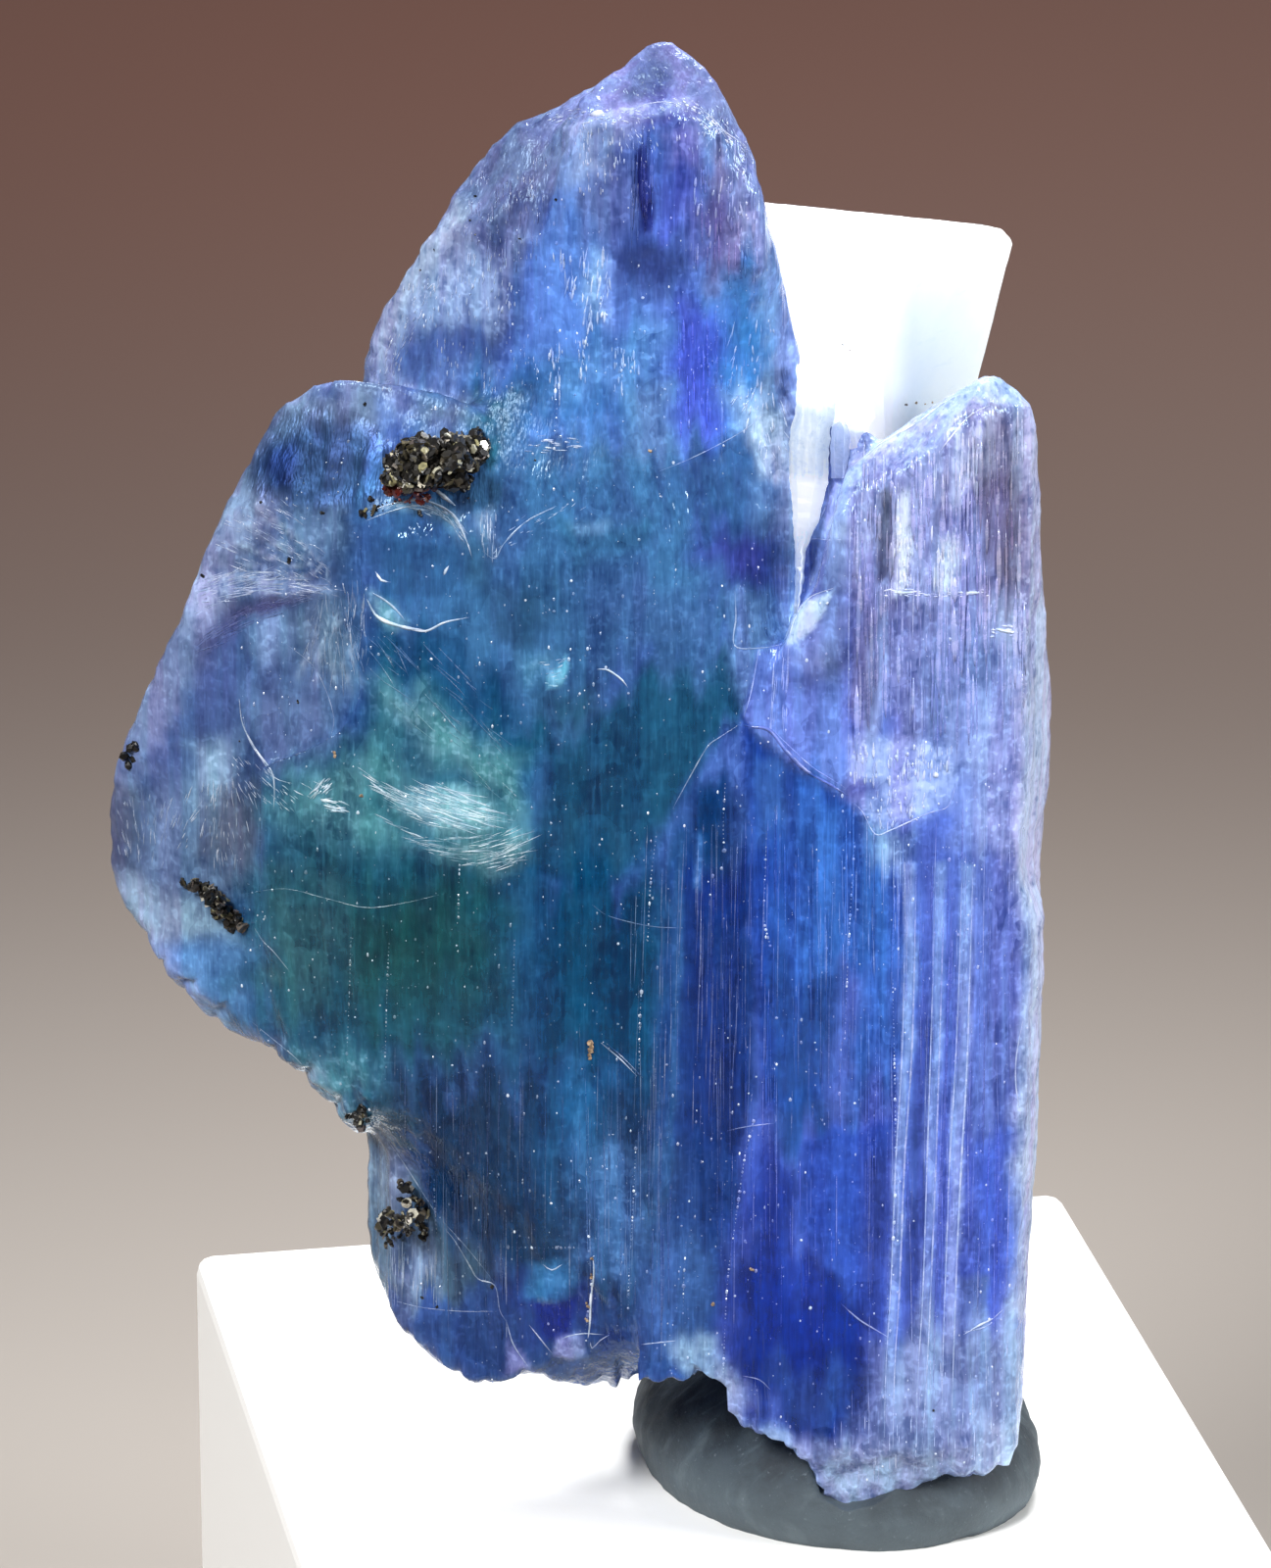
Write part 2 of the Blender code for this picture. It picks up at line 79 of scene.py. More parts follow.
# %% [markdown]
# ## The camera
#
# The photograph looks down on the crystal from 20 degrees, from far away through a long lens.
# The lens is worked out from the picture's size, 1297 by 1600, and the scale that the crystal's
# height gives at its middle.

# %% Camera
PICTURE_HEIGHT_PX = 1600
FOCAL_PX = 8500.0
MM_PER_PX = 0.01156
CAMERA_TILT_DEG = 20.0
TARGET_HEIGHT_MM = 9.02
CAMERA_TARGET = place(0.0, 0.0, TARGET_HEIGHT_MM)
SENSOR_MM = 36.0


def linked(name, data):
    """A new object in the scene, with the mesh, light or camera that it shows."""
    made = bpy.data.objects.new(name, data)
    bpy.context.scene.collection.objects.link(made)
    return made


lens_data = bpy.data.cameras.new("camera")
lens_data.sensor_fit = "VERTICAL"
lens_data.sensor_height = SENSOR_MM
lens_data.lens = SENSOR_MM * FOCAL_PX / PICTURE_HEIGHT_PX
lens_data.clip_start = 0.005
lens_data.clip_end = 10.0
camera = linked("camera", lens_data)
tilt = math.radians(CAMERA_TILT_DEG)
distance = FOCAL_PX * MM_PER_PX * MM
camera.location = CAMERA_TARGET + distance * Vector((0, -math.cos(tilt), math.sin(tilt)))
camera.rotation_euler = (math.radians(90) - tilt, 0, 0)
bpy.context.scene.camera = camera
print("lens", round(lens_data.lens, 1), "mm, camera", round(distance / MM, 1), "mm away")

# %% [markdown]
# ## Node maths as Python
#
# A material is a graph of nodes. Written out link by link it is long and hard to read, so one
# small class wraps an output socket and lets Python's own signs add the Math nodes. A second
# class holds the tree and adds every other node by its type, its settings and its sockets.

# %% Sockets with arithmetic
class Value:
    """A node's output socket, with the signs of arithmetic."""

    def __init__(self, graph, socket):
        self.graph = graph
        self.socket = socket

    def math(self, operation, *others):
        sockets = dict(enumerate((self, *others)))
        return self.graph.node("ShaderNodeMath", {"operation": operation}, sockets)

    def __add__(self, other):
        return self.math("ADD", other)

    def __mul__(self, other):
        return self.math("MULTIPLY", other)

    def __sub__(self, other):
        return self.math("SUBTRACT", other)

    def __rsub__(self, other):
        return self.math("MULTIPLY_ADD", -1.0, other)

    __radd__ = __add__
    __rmul__ = __mul__


class Graph:
    """A node tree, and the one way in which nodes are added to it."""

    def __init__(self, tree):
        self.tree = tree

    def node(self, kind, settings=None, sockets=None, out=0):
        made = self.tree.nodes.new(kind)
        for name, setting in (settings or {}).items():
            if name == "stops":
                self.set_stops(made.color_ramp, setting)
            else:
                setattr(made, name, setting)
        for key, value in (sockets or {}).items():
            if isinstance(value, Value):
                self.tree.links.new(value.socket, made.inputs[key])
            else:
                made.inputs[key].default_value = value
        return Value(self, made.outputs[out]) if len(made.outputs) else made

    def set_stops(self, ramp, stops):
        while len(ramp.elements) < len(stops):
            ramp.elements.new(1.0)
        for element, (position, colour) in zip(ramp.elements, stops):
            element.position = position
            element.color = linear(*colour)

    def smooth(self, value, low, high):
        """Nought at low and one at high, with a soft curve between."""
        sockets = {"Value": value, "From Min": low, "From Max": high}
        return self.node("ShaderNodeMapRange", {"interpolation_type": "SMOOTHSTEP"}, sockets)

    def blend(self, factor, first, second):
        """Mixes two colours."""
        sockets = {0: factor, 6: first, 7: second}
        return self.node("ShaderNodeMix", {"data_type": "RGBA"}, sockets, out=2)

    def multiplied(self, first, second):
        """Multiplies two colours."""
        sockets = {0: 1.0, 6: first, 7: second}
        settings = {"data_type": "RGBA", "blend_type": "MULTIPLY"}
        return self.node("ShaderNodeMix", settings, sockets, out=2)

    def tinted(self, colour, factors):
        """A colour with its red, green and blue each multiplied by a number."""
        return self.multiplied(colour, (*factors, 1.0))

    def vector(self, operation, sockets, out=0):
        return self.node("ShaderNodeVectorMath", {"operation": operation}, sockets, out)

    def scaled(self, vector, factors):
        return self.vector("MULTIPLY", {0: vector, 1: factors})

    def bump(self, height, strength, distance):
        sockets = {"Strength": strength, "Distance": distance, "Height": height}
        return self.node("ShaderNodeBump", None, sockets)

    def attribute(self, name, out=0):
        return self.node("ShaderNodeAttribute", {"attribute_name": name}, out=out)

    def noise(self, vector, scale, detail=2.0, roughness=0.5, out=0):
        sockets = {"Vector": vector, "Scale": scale, "Detail": detail, "Roughness": roughness}
        return self.node("ShaderNodeTexNoise", None, sockets, out)

    def random(self, low, high, seed, vector=False):
        """A random number between two others, or a random vector between two vectors."""
        kind, first = ("FLOAT_VECTOR", 0) if vector else ("FLOAT", 2)
        sockets = {first: low, first + 1: high, "Seed": seed}
        return self.node("FunctionNodeRandomValue", {"data_type": kind}, sockets, out=first // 2)

    def parts(self, value, kind="XYZ"):
        """The three numbers in a vector, or in a colour where the kind says Color."""
        outputs = self.node("ShaderNodeSeparate" + kind, None, {0: value}).socket.node.outputs
        return [Value(self, output) for output in outputs[:3]]


def linear(red, green, blue):
    """An 8-bit screen colour as linear light."""
    screen = np.array((red, green, blue)) / 255
    light = np.where(screen <= 0.04045, screen / 12.92, ((screen + 0.055) / 1.055) ** 2.4)
    return (*light.tolist(), 1.0)


def light_of(*colour):
    """A screen colour's red, green and blue light, as an array to reckon with."""
    return np.array(linear(*colour)[:3])


def new_material(name):
    material = bpy.data.materials.new(name)
    material.use_nodes = True
    material.node_tree.nodes.clear()
    return material, Graph(material.node_tree)


def finished(material, graph, sockets):
    """The material with one Principled shader at its output."""
    shader = graph.node("ShaderNodeBsdfPrincipled", None, sockets)
    graph.node("ShaderNodeOutputMaterial", None, {"Surface": shader})
    return material


def specimen_point(graph):
    """The shaded point in the specimen's frame, in millimetres, as a vector and its parts."""
    seen = graph.node("ShaderNodeTexCoord", out="Object")
    sockets = {0: seen, 1: (1 / MM,) * 3, 2: tuple(-SPECIMEN)}
    point = graph.vector("MULTIPLY_ADD", sockets)
    return point, graph.parts(point)


print("helpers ready")

# %% [markdown]
# ## Floor and light
#
# Clear crystal shows little but its surroundings, so the light matters more than on any other
# material. A broad soft light stands at the left front. A second one is behind and above, close
# to the specimen and turned towards it: it shines through the blades, and leaves the floor far
# behind them darker, so that the pale rims stand out. A small one at the right draws glints. A
# faint warm one hangs over the far floor and turns it brown.

# %% Stage
FLOOR_SIDE = 1.6
FLOOR_COLOUR = (154, 148, 142)
FLOOR_GAP = 0.0001
WORLD_LIGHT = 0.2


def piece_of(work, name):
    """Turns a bmesh into an object."""
    mesh = bpy.data.meshes.new(name)
    work.to_mesh(mesh)
    work.free()
    return linked(name, mesh)


work = bmesh.new()
bmesh.ops.create_grid(work, x_segments=1, y_segments=1, size=FLOOR_SIDE / 2)
floor = piece_of(work, "floor")
floor.location.z = -FLOOR_GAP
floor_sockets = {"Base Color": linear(*FLOOR_COLOUR), "Roughness": 0.8}
floor.data.materials.append(finished(*new_material("floor_pale"), floor_sockets))

world = bpy.data.worlds.new("studio")
bpy.context.scene.world = world
world.use_nodes = True
world.node_tree.nodes["Background"].inputs["Color"].default_value = (1.0, 0.93, 0.89, 1.0)
world.node_tree.nodes["Background"].inputs["Strength"].default_value = WORLD_LIGHT


def softbox(name, aim_from, size, watts, spread_deg, colour=(1.0, 1.0, 1.0), target=CAMERA_TARGET):
    """A square area light that faces the middle of the specimen, or another target."""
    data = bpy.data.lights.new(name, "AREA")
    data.shape = "SQUARE"
    data.size = size
    data.energy = watts
    data.color = colour
    data.spread = math.radians(spread_deg)
    light = linked(name, data)
    light.location = target + Vector(aim_from)
    light.rotation_euler = (-Vector(aim_from)).to_track_quat("-Z", "Y").to_euler()


softbox("key_light", (-0.06, -0.085, 0.09), 0.04, 0.017, 41.0)
softbox("back_light", (0.015, 0.045, 0.06), 0.03, 0.016, 70.0)
softbox("right_light", (0.09, -0.03, 0.03), 0.03, 0.006, 40.0)
far_floor = Vector((0.0, 0.09, 0.0))
softbox("backdrop_light", (0.0, 0.0, 0.12), 0.04, 0.0045, 64.0, (1.0, 0.15, 0.04), far_floor)
bpy.context.scene.view_settings.view_transform = "Standard"
print("lights ready")

# %% [markdown]
# ## From the photograph's pixels to the crystal's skin
#
# Growth lines, cracks and grains are easiest to place where they are seen in the photograph, at
# a column and a row of its 1297 by 1600 pixels. Two helpers keep such a place on the real
# surface. One says which pixel any point of the specimen falls on. The other looks from the
# camera through a pixel and returns the spot of the skin that it meets, so a piece that is placed
# by a pixel sits on the crystal from every side.

# %% Pixels and skin
PICTURE_CENTRE = (648.5, 800.0)
SIN_TILT = math.sin(tilt)
COS_TILT = math.cos(tilt)


def pixels_of(points):
    """The photograph's columns and rows for points in the specimen's frame, in millimetres."""
    offset = points - np.array((0.0, 0.0, TARGET_HEIGHT_MM))
    up = offset[:, 1] * SIN_TILT + offset[:, 2] * COS_TILT
    away = FOCAL_PX * MM_PER_PX + offset[:, 1] * COS_TILT - offset[:, 2] * SIN_TILT
    columns = PICTURE_CENTRE[0] + FOCAL_PX * offset[:, 0] / away
    rows = PICTURE_CENTRE[1] - FOCAL_PX * up / away
    return columns, rows


def look_through(column, row):
    """The direction from the camera through a pixel."""
    ray = Vector((column - PICTURE_CENTRE[0], PICTURE_CENTRE[1] - row, -FOCAL_PX))
    return (camera.rotation_euler.to_matrix() @ ray).normalized()


def skin(tree, column, row):
    """The spot of a surface that is seen at a pixel, its direction there, and which face it is."""
    spot, normal, face, _ = tree.ray_cast(camera.location, look_through(column, row))
    return spot, normal, face


print("centre looks along", tuple(round(value, 3) for value in look_through(*PICTURE_CENTRE)))

# %% [markdown]
# ## The crystal's surface
#
# The CAD crystal has the right outline, blades, ledges and scars. A real blade also has growth
# lines a tenth of a millimetre apart, soft waves, steps where a layer stopped growing, and shells
# of fracture. A copy of the node is merged and remeshed in small even squares, finer on the side
# that the visitor sees, so that the next steps have points to move.

# %% Copy and remesh the node
VOXEL_MM = 0.117
JOIN_DISTANCE = 1e-7


def opened(mesh):
    """A mesh as a bmesh, whose faces can be cut, joined and taken away."""
    work = bmesh.new()
    work.from_mesh(mesh)
    return work


def merged_copy(node, name):
    """A copy of a CAD node's mesh with its loose corners joined."""
    work = opened(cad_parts[node].data)
    bmesh.ops.remove_doubles(work, verts=work.verts, dist=JOIN_DISTANCE)
    return piece_of(work, name)


def take_modifiers(piece):
    """The piece's evaluated shape becomes its mesh, and its modifiers go."""
    bpy.context.view_layer.update()
    evaluated = piece.evaluated_get(bpy.context.evaluated_depsgraph_get())
    mesh = bpy.data.meshes.new_from_object(evaluated)
    piece.modifiers.clear()
    piece.data = mesh
    mesh.name = piece.name
    return piece


def array_of(items, key, wide, kind=float):
    """One property of all the points or edges of a mesh, a row for each."""
    flat = np.empty(len(items) * wide, dtype=kind)
    items.foreach_get(key, flat)
    return flat.reshape(-1, wide)


def points_of(mesh):
    """A mesh's points in the specimen's frame, in millimetres."""
    return array_of(mesh.vertices, "co", 3) / MM - np.array(SPECIMEN)


def move_points(mesh, points):
    mesh.vertices.foreach_set("co", ((points + np.array(SPECIMEN)) * MM).ravel())
    mesh.update()


def directions_of(mesh):
    """The way that the skin faces at each point."""
    return array_of(mesh.vertex_normals, "vector", 3)


def edges_of(mesh):
    """The two points that each edge joins."""
    return array_of(mesh.edges, "vertices", 2, np.int64)


def ease(value, low, high):
    """Nought at low and one at high, with a soft curve between, for arrays."""
    part = np.clip((value - low) / (high - low), 0.0, 1.0)
    return part * part * (3 - 2 * part)


crystal = merged_copy("tanzanite_crystal", "tanzanite")
remesh = crystal.modifiers.new("even_squares", "REMESH")
remesh.mode = "VOXEL"
remesh.voxel_size = VOXEL_MM * MM
take_modifiers(crystal)
print("crystal has", len(crystal.data.polygons), "squares")

# %% [markdown]
# The blades of the solid end in straight ledges. On the real crystal most of them are healed over
# and hardly show. Letting each front point drift to the mean depth of its neighbours, again and
# again, melts the ledges into waves. Points near the outline, and near the pockets of the
# graphite, keep their place, so the outline and the pockets stay.

# %% Melt the ledges
FRONT_DEPTH = -0.9
RIM_KEEPS = (0.15, 0.7)
SIDEWAYS = 0.35
RIM_BACK = 1.2
POCKETS = [(-2.3, 13.55, 0.45), (-5.0, 8.05, 0.4), (-2.75, 4.1, 0.4), (-3.2, 5.52, 0.25)]
MELT_ROUNDS = 260
# Centre, half width and half height in mm of a ledge that has to go altogether
HEALED_LEDGE = (-0.9, 14.25, 2.9, 1.3)
HEAL_ROUNDS = 1000
RELAX_ROUNDS = 60
HEAL_DEPTH = -0.3


def rim_distance(points, directions):
    """How far each point lies inside the outline that is seen from the front, in millimetres."""
    depth = points[:, 1]
    side = (np.abs(directions[:, 1]) < SIDEWAYS) & (depth > FRONT_DEPTH) & (depth < RIM_BACK)
    tree = KDTree(int(side.sum()))
    for index, (x, _, z) in enumerate(points[side]):
        tree.insert((x, 0.0, z), index)
    tree.balance()
    return np.array([tree.find((x, 0.0, z))[2] for x, _, z in points])


def mean_of_neighbours(values, edges, counts):
    """For each point, the mean of a value over the points that an edge joins to it."""
    total = np.bincount(edges[:, 0], values[edges[:, 1]], len(values))
    total += np.bincount(edges[:, 1], values[edges[:, 0]], len(values))
    return total / counts


points = points_of(crystal.data)
edges = edges_of(crystal.data)
counts = np.bincount(edges.ravel(), minlength=len(points))
free = ease(rim_distance(points, directions_of(crystal.data)), *RIM_KEEPS)
free *= 1 - ease(points[:, 1], FRONT_DEPTH - 0.2, FRONT_DEPTH + 0.1)
for x, z, reach in POCKETS:
    away = np.hypot(points[:, 0] - x, points[:, 2] - z)
    free *= ease(away, reach * 0.75, reach * 1.5)
x, z, wide, high = HEALED_LEDGE
ledge = np.hypot((points[:, 0] - x) / wide, (points[:, 2] - z) / high)
heal = (1 - ease(ledge, 0.7, 1.4)) * (points[:, 1] < HEAL_DEPTH)
stages = (
    (MELT_ROUNDS, np.maximum(free, heal), (1,)), (HEAL_ROUNDS, heal, (1,)),
    (RELAX_ROUNDS, np.minimum(free, heal), (0, 1, 2)),
)
for rounds, share, axes in stages:
    for _ in range(rounds):
        for axis in axes:
            drift = mean_of_neighbours(points[:, axis], edges, counts) - points[:, axis]
            points[:, axis] += share * drift
move_points(crystal.data, points)
print("front depth now", points[:, 1].min().round(2), "mm at its nearest")

# %% [markdown]
# Only the front gets finer squares: it carries the relief that the next cell carves. The rest of
# the crystal keeps its larger ones, so the mesh stays small.

# %% Finer squares in front
SEEN_FROM_FRONT = 0.2
work = opened(crystal.data)
work.normal_update()
seen = [face for face in work.faces if face.normal.y < -SEEN_FROM_FRONT]
cut = list({edge for face in seen for edge in face.edges})
bmesh.ops.subdivide_edges(work, edges=cut, cuts=1, use_grid_fill=True)
bmesh.ops.triangulate(work, faces=[face for face in work.faces if len(face.verts) > 4])
work.to_mesh(crystal.data)
work.free()
crystal.data.update()
triangles = sum(len(face.vertices) - 2 for face in crystal.data.polygons)
print("crystal has", triangles, "triangles")

# %% [markdown]
# ## Colour zones
#
# Tanzanite is blue, violet or brownish-lilac by the way one looks through it, and this crystal
# also has a green heart. It is zoned: patches with edges, some crisp and some blurred, lie side by
# side as in a window of coloured glass. Each zone is an outline, drawn over the photograph as
# columns and rows, with a colour chosen for it. It also says how hazy the zone is, how strong
# its growth streaks are, and whether its layer stands proud of its neighbours. Keeping this on
# the points of the mesh, as attributes, costs nothing when the picture is rendered.

# %% Zones of the left side
def table_rows(table):
    """Each row of a table, up to its semicolon, as its numbers and its groups. A word with commas
    is a group, such as a pixel's column and row. A word that starts with a letter names the row."""
    rows = []
    for row in table.split(";")[:-1]:
        words = [word for word in row.split() if not word[0].isalpha()]
        numbers = [float(word) for word in words if "," not in word]
        rows.append((numbers, [tuple(map(float, word.split(","))) for word in words if "," in word]))
    return rows


# feather_glow and feather_light are painted reflection: the pale light that the feather crack reflects.
# Name, red, green, blue, softness in pixels, haze, streaks, height in mm, outline
LEFT_ZONES = table_rows("""
  rind 60 84 136 12 0.35 0.05 -0.03 270,400 372,392 380,470 362,560 345,700 300,790 245,900 255,960
    243,1010 266,1070 140,1010 60,880 80,760 150,600;
  rind_rim 92 114 158 12 0.4 0.05 0 260,395 372,390 374,424 302,440 262,500 215,600 180,640 140,600;
  rind_pool 58 84 132 6 0.1 0.05 -0.03 262,474 278,452 310,436 350,436 374,452 372,500 318,520 268,512;
  rind_well 36 58 122 7 0.1 0.05 0 266,476 280,454 300,446 304,470 296,500 270,500;
  rind_band 132 148 194 7 0.9 0 0.03 190,596 233,581 268,587 338,605 300,611 255,608 215,626 186,650;
  rind_fold 88 90 140 6 0.3 0 -0.02 205,652 240,622 281,610 322,611 285,627 250,640 215,668;
  rind_ledge 120 150 196 7 0.6 0.05 0 252,640 296,630 300,672 262,684;
  rind_veil 98 126 168 12 0.6 0.05 0 258,560 290,534 348,528 350,562 302,578 260,588;
  rind_royal 86 110 172 20 0.3 0.05 0 192,640 244,652 236,700 200,760 152,802 136,770;
  rind_fan 102 126 160 12 0.6 0 0 325,615 352,620 370,680 350,706 308,690 300,640;
  rind_middle 108 134 184 16 0.3 0.05 -0.01 244,704 335,692 342,776 284,792 252,745;
  rind_cloud 106 130 172 18 0.5 0.05 0.02 110,806 180,790 214,792 240,832 250,900 190,905 104,880;
  rind_edge 40 56 100 10 0.2 0.05 0 104,800 130,792 146,830 140,880 108,888;
  rind_mist 132 160 192 12 0.8 0.05 0 192,758 226,748 244,790 236,826 200,824;
  rind_smoke 100 108 136 16 0.4 0.25 -0.01 212,806 250,798 280,830 262,900 226,896 204,850;
  rind_foot 138 160 190 14 0.5 0.05 0 100,880 190,907 240,962 180,966 132,955;
  rind_blue 104 148 212 10 0.4 0.05 0 150,962 246,962 250,1010 266,1070 196,1036;
  core 26 92 130 24 0.3 0.5 0 372,600 430,640 560,700 620,760 560,800 532,850 527,1072 400,1086 345,1140
    305,1108 262,1064 248,1010 250,930 280,822 350,740 371,676;
  core_green 20 80 86 50 0.2 0.6 0 322,870 520,874 520,1010 440,1066 322,1000;
  core_moss 50 104 116 22 0.3 0.4 0 262,900 300,890 360,904 352,980 300,1030 262,1000;
  core_swirl 64 118 138 12 0.6 0.1 0.02 376,690 424,700 476,736 529,772 528,836 486,800 430,768 384,746;
  core_swirl_light 82 140 150 12 0.7 0.05 0.02 402,708 440,726 500,772 528,800 527,822 480,784 424,744;
  core_jade 78 138 148 22 0.5 0.2 0 300,792 372,764 430,792 400,830 400,846 330,850 300,850 284,836;
  core_night 26 80 132 20 0.2 0.5 0 380,630 470,640 560,670 566,738 500,744 430,690;
  feather_glow 70 126 142 9 0.6 0 0.02 366,780 407,806 444,800 492,814 514,832 536,848 538,872 511,888
    470,881 433,866 407,850 368,818;
  feather_gap 52 112 132 6 0.3 0 -0.01 372,804 392,814 420,836 452,856 430,858 404,842 372,818;
  feather_light 134 184 196 7 0.7 0 0.03 412,812 444,803 490,815 510,831 496,842 456,846 424,828;
  feather_tip 98 140 150 8 0.6 0 0.02 452,866 500,856 534,852 536,870 510,886 474,881;
  core_hem 70 134 156 14 0.7 0.4 0 290,1062 400,1086 388,1136 350,1150 300,1120;
  core_bowl 30 88 128 7 0.2 0.6 -0.015 556,752 603,728 641,702 680,683 724,670 769,667 758,734 724,759
    705,791 686,826 650,880 600,905 534,880 556,810;
  core_deep 0 76 120 26 0.2 0.8 0 527,872 640,884 690,862 688,1100 640,1150 560,1100 526,1072;
  core_low 8 56 102 20 0.25 0.9 0 392,1100 560,1080 682,1100 680,1250 640,1345 520,1335 440,1250;
  core_sky 34 108 172 24 0.35 0.6 0 572,1100 622,1100 612,1222 560,1200;
  core_mist 72 120 186 26 0.5 0.6 0 600,1192 662,1200 662,1304 588,1292;
  lobe 66 94 124 8 0.35 1 -0.03 366,1122 400,1168 440,1236 500,1290 522,1336 430,1330 370,1310;
  lobe_pale 136 156 196 10 0.5 1 0 394,1276 444,1272 446,1318 410,1324;
  lobe_top 36 76 104 10 0.25 0.6 0 378,1112 416,1108 420,1150 398,1168 378,1150;
  lobe_foot 42 74 140 10 0.3 0.5 0 380,1330 440,1334 500,1318 640,1345 712,1420 500,1430 420,1390;
  lobe_dark 40 62 148 14 0.2 0.4 0 530,1300 600,1322 606,1350 556,1356 520,1330;
  lobe_sky 62 134 196 9 0.5 0.2 0 546,1286 580,1288 586,1310 562,1336 542,1322;
  lobe_royal 26 44 150 4 0.1 0.2 -0.02 542,1328 566,1332 588,1326 586,1360 560,1370 548,1352;
  lobe_royal_right 22 54 150 5 0.1 0.3 -0.02 620,1362 648,1358 654,1386 634,1396 616,1380;
  lobe_shell 116 120 182 4 0.6 0.1 0.02 518,1366 534,1380 542,1398 514,1400;
  lobe_facet 126 134 192 4 0.7 0 0.02 566,1384 572,1366 596,1361 602,1384 584,1391;
  lobe_hem 60 84 140 5 0.3 0.1 0 604,1392 640,1386 690,1398 690,1410 640,1414 600,1410;
""")
print(len(LEFT_ZONES), "zones on the left")
